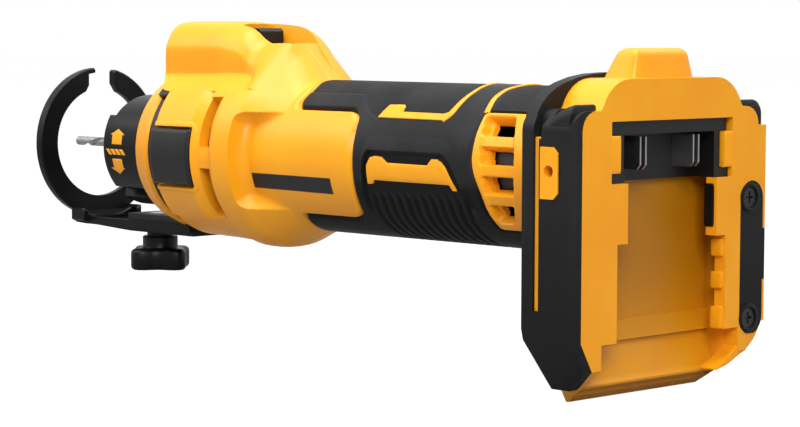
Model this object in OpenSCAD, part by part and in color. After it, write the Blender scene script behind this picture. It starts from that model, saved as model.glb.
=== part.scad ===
// Cordless drywall cut-out tool: battery dock, barrel grip, motor body, nose and depth guide.
// Axes: X runs forward to the bit, Y to the left side, Z up to the switch. The spindle lies on X.

/* [Dock] */
// Half width of the dock over its bumpers
dock_half = 42; // [40:0.5:45]
// Depth of the dock from its rear plane to its front face
dock_depth = 18.6; // [18.2:0.1:19.4]
// Thickness of the rubber bumpers on the sides
bumper_wall = 3.6; // [3:0.1:4.2]
// Height of the square shoulders above the spindle
shoulder_z = 18.5; // [18:0.1:19.5]
// Height of the arch above the spindle
arch_z = 27; // [26:0.1:28]
// Width of the square shoulder beside the arch
shoulder_width = 11; // [10:0.1:12]
// Drop of the straight sides below the spindle
side_drop = 44; // [42:0.5:46]
// Drop of the lower lip below the spindle
chin_drop = 62.2; // [60:0.1:64]
// Half width of the lower lip
chin_half = 31.5; // [30.5:0.1:32.5]
// Drop at which the sloping rim leaves the rear plane
rim_drop = 52; // [51:0.1:53]
// Setback of the lower lip from the rear plane
chin_x = 13.7; // [13:0.1:14]
// Depth of the battery cavity
cavity_depth = 11; // [10.6:0.1:11.4]
// Thickness of the rail lips
lip_thick = 4.8; // [4:0.1:5.4]
// Half width between the upper rail lips
lip_upper_half = 19.4; // [18.8:0.1:20]
// Half width between the middle rail lips
lip_middle_half = 23.7; // [23:0.1:24.4]
// Half width of the battery groove behind the lips
groove_half = 29; // [28.4:0.1:29.8]
// Half width of the mouth below the rails
mouth_half = 30; // [29.5:0.1:30.6]
// Drop at which the upper rail lips end
lip_step_drop = 18; // [16:0.5:20]
// Drop at which the mouth begins
mouth_drop = 45; // [43:0.5:47]
// Height of the catch block on the arch
catch_height = 7.6; // [6.5:0.1:8.5]
// Half width of the catch block at its foot
catch_half = 13.3; // [12.5:0.1:14]

/* [Barrel] */
// Outer radius of the barrel over the grip
barrel_r = 24.1; // [23.8:0.1:25]
// Thickness of the rubber grip
grip_wall = 2.1; // [1.8:0.1:2.4]
// Wall of the barrel under the grip
shell_wall = 2.4; // [2.1:0.1:2.6]
// Length of the grip from the dock to its front edge
grip_length = 116.4; // [115:0.1:118]
// Reach of the side panel back into the grip
panel_reach = 30; // [28:0.5:32]
// Height of the upper edge of the side panel
panel_top_z = 15.4; // [14.5:0.1:16]
// Drop of the lower edge of the side panel
panel_drop = 17.4; // [16.5:0.1:18]
// Length of the vent window in the grip
vent_length = 28.4; // [27.4:0.1:29.4]
// Half height of the vent window
vent_half = 16.8; // [16:0.1:17.4]
// Height of one intake opening
vent_slot = 3.7; // [3:0.1:4.5]
// Spacing of the intake openings
vent_pitch = 8.5; // [8:0.1:9]
// Spacing of the cast grip grooves
groove_pitch = 3.4; // [3.2:0.1:3.6]
// Depth of the cast grip grooves
groove_depth = 0.5; // [0.3:0.1:0.7]

/* [Motor body] */
// Length of the bulge in front of the grip
bulge_length = 28; // [27:0.5:29]
// Radius of the bulge
bulge_r = 30.6; // [30:0.1:31.2]
// Radius of the front casing
casing_r = 29.2; // [28.9:0.1:29.6]
// Length of the front casing
casing_length = 31; // [30.5:0.1:32]
// Width of the exhaust openings
exhaust_width = 8.4; // [7:0.1:9]
// Height of the upper edge of the side pocket
pocket_top_z = 13; // [12:0.5:14]
// Drop of the lower edge of the side pocket
pocket_drop = 19.5; // [18:0.5:20.5]
// Half width of the switch hump
hump_half = 14; // [13.6:0.1:14.6]
// Height of the switch hump above the spindle
hump_top_z = 42.4; // [42:0.1:43]
// Half width of the slide channel in the hump
channel_half = 5.3; // [5:0.1:5.6]
// Height of the thumb scoop floor above the spindle
scoop_z = 35.5; // [35:0.1:36]

/* [Nose] */
// Width of the black band in front of the casing
band_width = 5.5; // [5:0.1:6]
// Radius of the nose frame inside the casing
band_r = 25; // [24.8:0.1:25.2]
// Radius of the black band
flange_r = 26.2; // [25.8:0.1:26.2]
// Length of the tapered nose ring
ring_length = 8.5; // [8:0.1:9]
// Rear radius of the nose ring
ring_rear_r = 27.2; // [26.8:0.1:27.6]
// Front radius of the nose ring
ring_front_r = 25.4; // [25:0.1:25.8]
// Radius of the journal that carries the collar
journal_r = 17.2; // [17:0.1:17.4]
// Outer radius of the bit collar
collar_r = 20.4; // [20.2:0.1:20.8]
// Length of the bit collar
collar_length = 23; // [22:0.1:23.6]
// Length of a release pad
pad_length = 17.8; // [17:0.1:18.2]
// Height of a release pad
pad_height = 18.4; // [17:0.1:19]

/* [Depth guide] */
// Inner radius of the guide ring
guide_inner_r = 18.6; // [18:0.1:19.2]
// Outer radius of the guide ring
guide_outer_r = 25.8; // [25.4:0.1:26.2]
// Thickness of the guide ring
guide_thick = 6; // [5:0.1:7]
// Half width of the gap at the top of the guide ring
guide_gap_half = 5; // [4:0.1:6]
// Half width of the guide bar
bar_half = 10; // [9.6:0.1:10.6]
// Length of the guide bar to the front of the ring
bar_length = 64; // [63:0.5:65]
// Travel of the depth guide
guide_travel = 18; // [16:0.5:18.5]
// Station of the clamp knob behind the front of the ring
knob_setback = 36.4; // [36:0.1:37]
// Radius over the lobes of the clamp knob
knob_r = 9.8; // [9:0.1:10.5]
// Height of the lobes of the clamp knob
knob_height = 8; // [7:0.1:9]

/* [Motor and spindle] */
// Thickness of the stator yoke
yoke = 4; // [3.6:0.1:4.2]
// Length of the stator core
stator_length = 30; // [28:0.5:31]
// Depth of the stator slots
slot_depth = 5.2; // [5:0.1:5.6]
// Radius of the spindle shaft
shaft_r = 4; // [3.8:0.1:4.1]
// Radius of the fan
fan_r = 22.5; // [21:0.1:23.5]
// Number of fan blades
fan_blades = 11; // [9:1:13]
// Shank radius of the cutting bit
bit_r = 1.5875; // [1.5:0.0125:1.6]
// Reach of the bit in front of the guide ring
bit_reach = 10; // [8:0.5:12]

/* [Hidden] */
NODES = [
    "housing_left", "housing_right", "grip_left", "grip_right", "dock_bumper_left", "dock_bumper_right",
    "nose_frame", "nose_ring", "terminal_block", "terminal_blades", "control_tray", "control_board",
    "power_leads", "motor_leads", "switch_body", "light_lens", "light_board", "stator_core", "stator_coils",
    "rear_plate", "front_bearing_outer", "rear_bearing_outer", "front_bearing_balls", "rear_bearing_balls",
    "air_baffle", "housing_screws", "dock_screws", "guide_insert", "spindle_shaft", "rotor_core",
    "rotor_magnets", "fan", "front_bearing_inner", "rear_bearing_inner", "collet", "collet_nut",
    "cutting_bit", "bit_collar", "depth_guide", "guide_knob", "guide_stud", "switch_slider",
    "release_pad_left", "release_pad_right"
];
node = "all";
$fn = 72;

// Gap between seated pieces
seat_gap = 0.05;
// Gap between sliding pieces
run_gap = 0.3;
// Overrun of every cut past the face it opens
overrun = 1;
// Reach of the half spaces that split the casing
beyond = 320;
// Steps of a rounded corner
corner_steps = 6;
// Steps of the bulge profile
bulge_steps = 10;

// Dock stations and faces
core_half = dock_half - bumper_wall;
arch_half = dock_half - shoulder_width;
frame_width = 4;
frame_top_z = 28.4;
frame_x = dock_depth - frame_width;
frame_shares = [
    [1, 0.4], [0.99, 0.5], [0.955, 0.634], [0.915, 0.72], [0.857, 0.796], [0.775, 0.866], [0.69, 0.912],
    [0.56, 0.96], [0.42, 0.989], [0.25, 1]
];
front_wall = 2.4;
floor_wall = 2.2;
floor_front_x = cavity_depth + floor_wall;
front_wall_x = dock_depth - front_wall;
shoulder_round = 5.5;
arch_round = 12;
arch_start = 22;
low_drop = 58;
low_flank_share = 0.55;
slope_top_drop = 41;
slope_run = 4.1;
slope_low_x = dock_depth - slope_run;
slope_low_drop = low_drop;
chamber_wall = 2.5;
chamber_half = 20;
chamber_foot_z = 18;
flange_thick = 3;
notch_top_drop = 17;
notch_low_drop = 32;
strip_thick = 1.6;
strip_margin = 1;
strip_width = 10.5;
strip_outer_y = dock_half - strip_margin;
strip_inner_y = strip_outer_y - strip_width;
strip_top_drop = 3;
strip_over = 3.5;
strip_low_drop = side_drop + strip_over;
strip_screw_set = 6.4;
strip_screw_end = 4.8;
strip_screw_y = strip_outer_y - strip_screw_set;
strip_screw_drops = [strip_top_drop + strip_screw_end, strip_low_drop - strip_screw_end];
groove_line_x = 12.5;
groove_line_width = 1.9;
groove_line_top_z = 11.4;
groove_line_drop = 35.9;
groove_line_rise = 2.8;
bumper_bevel = 1.6;
pad_boss_x = 5.4;
pad_boss_width = 6.3;
pad_boss_top_z = 8.9;
pad_boss_drop = 5.2;
pad_boss_rise = 0.4;
pad_boss_cut = 1.6;
hook_hole_r = 1.65;
hook_hole_x = 8.7;
hook_hole_z = 2.3;
hook_hole_depth = 9;
catch_rear_x = 2.6;
catch_taper = 2.1;
catch_length = 12.2;
catch_slope = 5.7;
catch_round = 1.6;
pocket_wall = 2.4;
pocket_top_drop = 14;
pocket_low_drop = 37;

// Terminal block
terminal_top_z = 15.5;
terminal_bar = 3.8;
terminal_half = 25.2;
terminal_rear_x = 1.4;
terminal_plate = 2;
terminal_leg_half = 22.2;
terminal_leg = 2.5;
terminal_foot_half = 26.1;
terminal_foot = 1.5;
terminal_foot_depth = 4;
terminal_mouth_half = terminal_foot_half + run_gap;
blade_shares = [0.504, 0.413, -0.413, -0.504];
blade_ys = [for (s = blade_shares) s * terminal_half];
blade_thick = 0.8;
blade_top_z = 11;
blade_foot_z = 2;
blade_bevel = 2.5;
blade_rear_x = 7.6;
blade_front_x = 15.2;
lead_window_half = 16;

// Barrel stations
core_r = barrel_r - grip_wall;
bore_r = core_r - shell_wall;
grip_front_x = dock_depth + grip_length;
panel_rear_x = grip_front_x - panel_reach;
panel_round = 5;
vent_set = 8.4;
vent_rear_x = dock_depth + vent_set;
vent_front_x = vent_rear_x + vent_length;
vent_round = 4;
vent_rear_rim = 10;
vent_front_rim = 7.4;
vent_count = 4;
vent_rise = 0.25;
grip_groove_x = 58;
grip_groove_count = 12;
grip_groove_width = 1.2;
grip_groove_top_z = -8;

// Motor body stations
bulge_set = 2;
bulge_x = grip_front_x + bulge_set;
body_front_x = grip_front_x + bulge_length;
casing_front_x = body_front_x + casing_length;
casing_edge = 1;
bulge_run = 22;
exhaust_set = 1.8;
exhaust_x = body_front_x + exhaust_set;
exhaust_inner_r = 25.5;
exhaust_bridge_angle = 6;
exhaust_end_angle = 37;
pocket_back = 7.5;
pocket_front_x = body_front_x - pocket_back;
pocket_rear_x = grip_front_x - overrun;
pocket_round = 6;
fan_back = 2.4;
fan_step = 1;
fan_rear_x = body_front_x - fan_back;
fan_bore_r = 26.8;
seat_set = 15;
seat_face = 1.4;
seat_x = body_front_x + seat_set;
seat_r = 26.2;
seat_length = 6;
mouth_r = band_r + seat_gap;

// Switch hump
hump_set = 2.5;
hump_tail_x = bulge_x + hump_set;
hump_overhang = 18;
hump_front_x = casing_front_x + hump_overhang;
hump_gap = 0.6;
hump_root_z = 20;
hump_length = hump_front_x - hump_tail_x;
hump_rise = hump_top_z - hump_root_z;
hump_side_shares = [
    [0, 0], [0, 0.16], [0.073, 0.397], [0.148, 0.629], [0.181, 0.759], [0.214, 0.857], [0.262, 0.924],
    [0.324, 0.96], [0.448, 0.982], [0.628, 1], [0.876, 1], [0.938, 0.964], [0.979, 0.875], [1, 0.737],
    [1, 0]
];
hump_front_shares = [
    [1, 0], [1, 0.62], [0.985, 0.69], [0.94, 0.76], [0.88, 0.85], [0.8, 0.93], [0.69, 0.985], [0.55, 1]
];
hump_wall = 2.5;
hump_hollow_half = hump_half - hump_wall;
hump_round = 7;
hump_hollow_back = 11.5;
hump_hollow_reach = 11;
hump_hollow_drop = 5.2;
hump_hollow_rear_x = body_front_x - hump_hollow_back;
hump_hollow_front_x = body_front_x + hump_hollow_reach;
hump_hollow_top_z = scoop_z - hump_hollow_drop;
channel_sink = 3;
channel_roof = 1.8;
channel_back = 11;
channel_reach = 22.4;
channel_floor_z = scoop_z - channel_sink;
channel_roof_z = hump_top_z - channel_roof;
channel_rear_x = body_front_x - channel_back;
channel_front_x = body_front_x + channel_reach;
scoop_rear_x = hump_tail_x;
scoop_back = 1.5;
scoop_front_x = body_front_x - scoop_back;
scoop_run = 13;
scoop_steps = 8;
light_chamber_x = casing_front_x;
light_chamber_half = 6;
light_z = 34;
light_r = 3;
light_chamber_rise = 4;
light_chamber_foot_z = light_z - light_chamber_rise;
light_chamber_top_z = light_z + light_chamber_rise;
light_wall = 2.6;

// Slide switch
slider_half = channel_half - run_gap;
slider_set = 4.5;
slider_tail = 11.5;
slider_tail_height = 1.4;
slider_rear_x = body_front_x + slider_set;
slider_tail_x = slider_rear_x - slider_tail;
slider_length = 11.5;
slider_travel = 6;
slider_foot_z = channel_floor_z + run_gap;
slider_gap = 0.4;
slider_top_z = channel_roof_z - slider_gap;
slider_ridge = 0.9;
slider_ridge_pitch = 2.2;
slider_ridge_count = 4;
slider_edge = 1;
slider_stem_half = 1.5;
slider_stem_setback = 0.6;
slider_stem_length = 3;
slider_stem_drop = 2.4;
slider_stem_foot_z = hump_hollow_top_z - slider_stem_drop;
switch_set = 0.6;
switch_rear_x = hump_hollow_rear_x + switch_set;
switch_length = 8;
switch_rise = 3;
switch_gap = 1.5;
switch_height = 5.8;
switch_top_z = slider_stem_foot_z - switch_gap;
switch_foot_z = switch_top_z - switch_height;
hump_hollow_foot_z = switch_foot_z - switch_rise;
switch_lever = 1;

// Nose stations
ring_rear_x = casing_front_x + band_width;
ring_front_x = ring_rear_x + ring_length;
collar_rear_x = ring_front_x + run_gap;
collar_front_x = collar_rear_x + collar_length;
collar_round = 3;
collar_lip = 2.4;
collar_mouth_r = 13;
collar_inner_r = journal_r + run_gap;
collar_panels = 4;
collar_channel = 0.9;
collar_channel_angle = 13;
collar_start = -5;
collar_rim = 2.4;
journal_front_x = collar_front_x - collar_lip - run_gap;
journal_wall = 2.3;
snap_set = 5;
snap_x = collar_rear_x + snap_set;
snap_width = 2;
snap_depth = 0.9;
bearing_set = 1;
bearing_x = seat_x + bearing_set;
bearing_width = 7;
bearing_r = 11;
bearing_shoulder_r = 9.3;
bearing_shoulder = 2;
nose_well_x = bearing_x + bearing_width + bearing_shoulder;
band_lug_width = 7;
band_lug_rise = 2.2;
band_lug_angle = 40;
band_lug_span = 9;
pad_back = 3.5;
pad_rear_x = seat_x - pad_back;
pad_top_z = 8;
pad_low_z = pad_top_z - pad_height;
pad_corner = 3;
pad_inner_y = seat_r;
pad_rise = 1.3;
pad_outer_r = casing_r + pad_rise;
pad_travel = 1.5;
pad_well_y = pad_inner_y - pad_travel - run_gap;
pad_post_r = 1.6;
pad_post_gap = 0.08;
pad_post_set = 3;
pad_post_inset = 4.6;
pad_post_x = seat_x + pad_post_set;
pad_post_zs = [pad_top_z - pad_post_inset, pad_low_z + pad_post_inset];
pad_post_end_y = 20;

// Depth guide
guide_reach = 50;
guide_front_x = hump_front_x + guide_reach;
guide_rear_x = guide_front_x - guide_thick;
bar_rear_x = guide_front_x - bar_length;
knob_x = guide_front_x - knob_setback;
tongue_half = 8;
tongue_top_z = -23.2;
tongue_foot_z = -26.3;
tongue_reach = 7.4;
tongue_front_x = knob_x + tongue_reach;
bar_floor_z = tongue_foot_z - run_gap;
bar_floor = 2.7;
bar_foot_z = bar_floor_z - bar_floor;
bar_side_z = -25.5;
bar_slot_half = 2.75;
bar_side_gap = run_gap;
bar_step = 1.2;
bar_step_width = 1.6;
bar_step_half = bar_half - bar_step_width;
guide_lip = 1.4;
guide_lip_width = 2;
guide_taper = 1.4;
stud_r = 2.4;
stud_gap = 0.06;
insert_r = 3.6;
knob_washer_r = 4.5;
knob_washer = 1.7;
knob_neck_r = 6;
knob_neck = 4;
knob_valley_r = 6.3;
knob_start = 135;
knob_steps = 60;
knob_lobes = 3;
knob_edge = 1.2;
knob_round = 2;
stud_set = 3;
knob_top_z = bar_foot_z - knob_washer - knob_neck;

// Motor and spindle stations
rear_plate_back = 5;
rear_plate_x = panel_rear_x - rear_plate_back;
rear_plate = 6;
rear_plate_hub = 2.4;
rear_plate_port_r = 2.6;
rear_bearing_r = 8;
rear_plate_port_ring_r = (rear_bearing_r + bore_r) / 2;
rear_plate_ports = 6;
rear_bearing_bore = 2.5;
rear_bearing_width = 5;
stator_set = 9;
stator_x = panel_rear_x + stator_set;
tooth_half = 3;
tooth_shoe_half = 4.4;
tooth_shoe = 1.6;
stator_r = bore_r - seat_gap;
stator_bore = stator_r - yoke - slot_depth;
air_gap = 0.5;
teeth = 6;
coil_build = 2.1;
coil_end = 3.4;
rotor_r = stator_bore - air_gap;
magnet_thick = 1.5;
magnet_count = 4;
magnet_gap_angle = 8;
rotor_over = 1;
air_gap_end = 2;
fan_gap = 3.4;
fan_x = fan_rear_x + fan_gap;
fan_width = 9;
fan_plate = 1.4;
fan_hub_r = 7;
fan_blade = 1.2;
fan_blade_root = 10;
baffle_thick = 1.5;
baffle_port_r = 15;
spindle_nose_r = 6.5;
spindle_nose_set = 0.6;
spindle_nose = 17;
spindle_nose_x = nose_well_x + spindle_nose_set;
spindle_front_x = spindle_nose_x + spindle_nose;
collet_r = 5;
collet_seat = 9;
collet_head = 6;
collet_tip_r = 3.3;
collet_slit = 0.6;
collet_slits = 2;
collet_root = 3;
nut_r = 9.5;
nut_grip = 8;
nut_rear_x = spindle_front_x - nut_grip;
nut_lip = 1.8;
nut_edge = 1.2;
nut_flat_half = 8.3;
nut_flat_length = 8;
bit_tip_x = guide_front_x + bit_reach;
flute_length = 30;
flute_r = 0.95;
flute_set = 1.45;
flute_turn = 430;
flute_steps = 24;
flute_facets = 14;
flute_tip = 1.2;

// Electronics
tray_set = 6.4;
tray_x = dock_depth + tray_set;
tray_length = 38;
tray_r = bore_r - seat_gap;
tray_half_z = 9;
tray_well = 6;
tray_wall = 2;
board_thick = 1.6;
board_inset = 2.4;
chip_size = 8;
chip_height = 2.2;
chip_count = 3;
chip_pitch = 10;
lead_r = 1.3;
lead_z = 6;
lead_y = 11.6;
motor_lead_r = 1;
motor_lead_ring_r = 16.6;
motor_lead_angles = [155, 180, 205];

// Casing screws run across the two halves, heads on the far side
screw_shank_r = 1.5;
screw_head_r = 2.8;
screw_head = 1.9;
screw_gap = 0.06;
screw_boss_r = 3.3;
screw_slot = 0.7;
screw_slot_depth = 1;
screw_head_shares = [0.46, 0.5, 0.4, 0.34, 0.28];
screw_head_ys = [for (s = screw_head_shares) -s * bulge_r];
screw_bury = 8.5;
grip_screw_back = 9.1;
grip_screw_inset = 3.4;
upper_screw_set = 7;
upper_screw_rise = 4.6;
lower_screw_set = 15;
lower_screw_drop = 5.2;
hump_screw_back = 5.4;
hump_screw_drop = 4.6;
screw_spots = [
    [rear_plate_x - grip_screw_back, bore_r - grip_screw_inset],
    [rear_plate_x - grip_screw_back, grip_screw_inset - bore_r],
    [bulge_x + upper_screw_set, bore_r + upper_screw_rise],
    [bulge_x + lower_screw_set, -bore_r - lower_screw_drop],
    [casing_front_x - hump_screw_back, scoop_z - hump_screw_drop]
];
screw_sink_ys = [core_r + overrun, core_r + overrun, hump_half + overrun, bulge_r, hump_half + overrun];

function mirrored(pts) = concat(pts, [for (i = [len(pts) - 1:-1:0]) [-pts[i][0], pts[i][1]]]);
function corner(at, r, a0, a1) = [
    for (i = [0:corner_steps])
        at + r * [cos(a0 + (a1 - a0) * i / corner_steps), sin(a0 + (a1 - a0) * i / corner_steps)]
];
function soft_box(lo, hi, r) = concat(
    corner([hi[0] - r, lo[1] + r], r, -90, 0),
    corner([hi[0] - r, hi[1] - r], r, 0, 90),
    corner([lo[0] + r, hi[1] - r], r, 90, 180),
    corner([lo[0] + r, lo[1] + r], r, 180, 270)
);
function scaled(shares, lo, span) = [for (s = shares) [lo[0] + s[0] * span[0], lo[1] + s[1] * span[1]]];

// Half of the dock outline, seen from the rear, from the lower lip up to the top of the arch
function dock_leg(half, low_half) = [
    [low_half, -chin_drop],
    [low_half + (half - low_half) * low_flank_share, -chin_drop + (chin_drop - side_drop) * low_flank_share],
    [half, -side_drop]
];
function dock_flank(half, low_half, rise) = concat(
    dock_leg(half, low_half),
    corner([half - shoulder_round, shoulder_z + rise - shoulder_round], shoulder_round, 0, 90)
);
function dock_arch(grow, rise) = corner(
    [arch_half + grow - arch_round, arch_z + rise - arch_round], arch_round, arch_start, 90
);
function dock_outline(half, low_half, grow, rise) = mirrored(
    concat(dock_flank(half, low_half, rise), [[arch_half + grow, shoulder_z + rise]], dock_arch(grow, rise))
);
function frame_outline(grow) = mirrored(concat(
    dock_leg(dock_half + grow, chin_half + grow),
    scaled(frame_shares, [0, 0], [dock_half + grow, frame_top_z + grow])
));

module turned(turn = 360) {
    rotate([0, 90, 0])
        rotate_extrude(angle = turn)
            children();
}
// Ring sector about the spindle, angles counted up from the left side
module sector(r0, r1, x0, x1, a0, a1) {
    rotate([0, 90, 0])
        rotate([0, 0, 90 + a0])
            rotate_extrude(angle = a1 - a0)
                polygon([[r0, x0], [r1, x0], [r1, x1], [r0, x1]]);
}
module rod_x(r, x0, x1) {
    translate([x0, 0, 0])
        rotate([0, 90, 0])
            cylinder(r = r, h = x1 - x0);
}
module rod_y(r, y0, y1) {
    translate([0, y1, 0])
        rotate([90, 0, 0])
            cylinder(r = r, h = y1 - y0);
}
module rod_z(r, z0, z1) {
    translate([0, 0, z0])
        cylinder(r = r, h = z1 - z0);
}
module plate_x(x0, x1) {
    translate([x0, 0, 0])
        rotate([90, 0, 90])
            linear_extrude(x1 - x0)
                children();
}
module plate_y(y0, y1) {
    translate([0, y1, 0])
        rotate([90, 0, 0])
            linear_extrude(y1 - y0)
                children();
}
module block(lo, hi) {
    translate(lo)
        cube(hi - lo);
}
module left_half() {
    block([-beyond, 0, -beyond], [beyond, beyond, beyond]);
}
module right_half() {
    block([-beyond, -beyond, -beyond], [beyond, 0, beyond]);
}
module each_side() {
    children();
    mirror([0, 1, 0])
        children();
}

// Wedges that slope the dock below: the rear rim runs to the lower lip, the front face runs back
module dock_slopes() {
    plate_y(-beyond, beyond)
        polygon([
            [-beyond, -rim_drop], [0, -rim_drop], [chin_x, -chin_drop], [chin_x, -beyond], [-beyond, -beyond]
        ]);
    plate_y(-beyond, beyond)
        polygon([
            [dock_depth, -slope_top_drop], [slope_low_x, -slope_low_drop], [slope_low_x, -beyond],
            [beyond, -beyond], [beyond, -slope_top_drop]
        ]);
}
module strip_form(grow, depth) {
    plate_x(-overrun, depth)
        polygon(soft_box(
            [-strip_outer_y - grow, -strip_low_drop - grow], [-strip_inner_y + grow, -strip_top_drop + grow],
            (strip_outer_y - strip_inner_y) / 2 + grow - seat_gap
        ));
}
module pad_boss_form(grow, depth) {
    plate_y(depth[0], depth[1])
        polygon([
            [pad_boss_x - grow, -pad_boss_drop + pad_boss_cut], [pad_boss_x + pad_boss_cut, -pad_boss_drop - grow],
            [pad_boss_x + pad_boss_width + grow, -pad_boss_drop - grow],
            [pad_boss_x + pad_boss_width + grow, pad_boss_top_z + grow],
            [pad_boss_x + pad_boss_cut, pad_boss_top_z + grow], [pad_boss_x - grow, pad_boss_top_z - pad_boss_cut]
        ]);
}
module groove_line_form(grow, depth) {
    block(
        [groove_line_x - grow, depth[0], -groove_line_drop - grow],
        [groove_line_x + groove_line_width + grow, depth[1], groove_line_top_z + grow]
    );
}
module dock_core() {
    difference() {
        union() {
            plate_x(0, dock_depth)
                polygon(dock_outline(core_half, chin_half - bumper_wall, 0, 0));
            // Flange along the edge of the rear plane on the right side
            difference() {
                block([0, -dock_half, -side_drop], [flange_thick, seat_gap - core_half, shoulder_z - shoulder_round]);
                block(
                    [-overrun, -dock_half - overrun, -notch_low_drop],
                    [flange_thick + overrun, -core_half, -notch_top_drop]
                );
            }
            each_side() {
                pad_boss_form(0, [core_half - overrun, dock_half + pad_boss_rise]);
                groove_line_form(0, [core_half - overrun, core_half + groove_line_rise]);
            }
            // Catch block on the arch
            intersection() {
                plate_x(catch_rear_x, dock_depth)
                    polygon(mirrored([
                        [catch_half, shoulder_z], [catch_half, arch_z],
                        [catch_half - catch_taper, arch_z + catch_height - catch_round],
                        [catch_half - catch_taper - catch_round, arch_z + catch_height]
                    ]));
                plate_y(-catch_half, catch_half)
                    polygon([
                        [catch_rear_x, shoulder_z], [catch_rear_x, arch_z + catch_height - catch_round],
                        [catch_rear_x + catch_round, arch_z + catch_height],
                        [catch_rear_x + catch_length - catch_slope, arch_z + catch_height],
                        [catch_rear_x + catch_length, arch_z], [catch_rear_x + catch_length, shoulder_z]
                    ]);
            }
        }
        dock_slopes();
        // Mouth between the rail lips
        plate_x(-overrun, lip_thick)
            polygon(mirrored([
                [mouth_half, -beyond], [mouth_half, -mouth_drop], [lip_middle_half, -mouth_drop],
                [lip_middle_half, -lip_step_drop], [lip_upper_half, -lip_step_drop], [lip_upper_half, -terminal_foot],
                [terminal_mouth_half, -terminal_foot], [terminal_mouth_half, terminal_top_z]
            ]));
        block([lip_thick - overrun, -groove_half, -beyond], [cavity_depth, groove_half, terminal_top_z]);
        // Lead window, hollow behind the cavity floor and chamber under the arch
        block(
            [cavity_depth - overrun, -lead_window_half, blade_foot_z - overrun],
            [floor_front_x + overrun, lead_window_half, blade_top_z + overrun]
        );
        intersection() {
            block(
                [floor_front_x, -core_half + pocket_wall, -slope_top_drop],
                [front_wall_x, core_half - pocket_wall, shoulder_z - pocket_wall]
            );
            plate_x(floor_front_x, front_wall_x)
                polygon(dock_outline(core_half - pocket_wall, chin_half - bumper_wall, -pocket_wall, -pocket_wall));
        }
        block([chamber_wall, -chamber_half, chamber_foot_z], [front_wall_x, chamber_half, arch_z - pocket_wall]);
        each_side()
            block(
                [pocket_wall, groove_half + pocket_wall, -pocket_low_drop],
                [floor_front_x + overrun, core_half - pocket_wall, -pocket_top_drop]
            );
        // Rim seat of the front frame
        difference() {
            plate_x(frame_x - seat_gap, dock_depth + overrun)
                polygon(frame_outline(overrun + overrun));
            plate_x(frame_x - overrun, dock_depth + overrun + overrun)
                polygon(dock_outline(core_half, chin_half - bumper_wall, 0, 0));
        }
        strip_form(seat_gap, strip_thick);
        for (drop = strip_screw_drops)
            translate([0, -strip_screw_y, -drop])
                rod_x(screw_shank_r + screw_gap, -overrun, strip_thick + screw_bury);
        each_side()
            translate([hook_hole_x, 0, hook_hole_z])
                rod_y(hook_hole_r, dock_half + pad_boss_rise - hook_hole_depth, dock_half + overrun);
    }
}
module bumper_form() {
    difference() {
        intersection() {
            union() {
                plate_x(frame_x, dock_depth)
                    polygon(frame_outline(0));
                intersection() {
                    plate_x(0, dock_depth)
                        polygon(dock_outline(dock_half, chin_half, 0, 0));
                    each_side()
                        block([-overrun, arch_half + seat_gap, -beyond], [beyond, beyond, beyond]);
                }
            }
            block([-overrun, -beyond, -low_drop], [beyond, beyond, beyond]);
        }
        plate_x(-overrun, dock_depth + overrun)
            polygon(dock_outline(core_half + seat_gap, chin_half - bumper_wall + seat_gap, seat_gap, seat_gap));
        dock_slopes();
        each_side() {
            pad_boss_form(seat_gap, [core_half - overrun, dock_half + overrun]);
            groove_line_form(seat_gap, [core_half - overrun, dock_half + overrun]);
        }
    }
}
module side_panel_form(grow) {
    plate_y(-beyond, beyond)
        polygon(soft_box(
            [panel_rear_x - grow, -panel_drop - grow], [beyond, panel_top_z + grow], panel_round + grow
        ));
}
function vent_z(i) = vent_rise + (i - (vent_count - 1) / 2) * vent_pitch;
module vent_window_form(grow) {
    plate_y(-beyond, beyond)
        polygon(soft_box(
            [vent_rear_x - grow, -vent_half - grow], [vent_front_x + grow, vent_half + grow], vent_round + grow
        ));
}
function bulge_at(s) = barrel_r + (bulge_r - barrel_r) * (1 - cos(180 * s)) / 2;
body_profile = concat(
    [[0, front_wall_x], [core_r, front_wall_x], [core_r, grip_front_x + seat_gap], [barrel_r, grip_front_x + seat_gap]],
    [for (i = [0:bulge_steps]) [bulge_at(i / bulge_steps), bulge_x + bulge_run * i / bulge_steps]],
    [
        [bulge_r, body_front_x], [casing_r + casing_edge / 2, seat_x - casing_edge],
        [casing_r, casing_front_x - casing_edge], [casing_r - casing_edge, casing_front_x], [0, casing_front_x]
    ]
);
bore_profile = [
    [0, front_wall_x - overrun], [bore_r, front_wall_x - overrun], [bore_r, pocket_front_x],
    [bore_r + fan_step, fan_rear_x - fan_step], [fan_bore_r, fan_rear_x], [fan_bore_r, seat_x - seat_face],
    [seat_r + seat_gap, seat_x - seat_face],
    [seat_r + seat_gap, seat_x + seat_length + seat_gap], [mouth_r, seat_x + seat_length + seat_gap],
    [mouth_r, casing_front_x + overrun], [0, casing_front_x + overrun]
];
module hump() {
    difference() {
        intersection() {
            plate_y(-hump_half, hump_half)
                polygon(scaled(hump_side_shares, [hump_tail_x, hump_root_z], [hump_length, hump_rise]));
            plate_x(hump_tail_x, hump_front_x)
                polygon(mirrored(scaled(hump_front_shares, [0, hump_root_z], [hump_half, hump_rise])));
            // Rounded front corners in plan
            linear_extrude(hump_top_z)
                polygon(soft_box([hump_tail_x - hump_round, -hump_half], [hump_front_x, hump_half], hump_round));
        }
        rod_x(ring_rear_r + hump_gap, casing_front_x, hump_front_x + overrun);
    }
}
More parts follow.
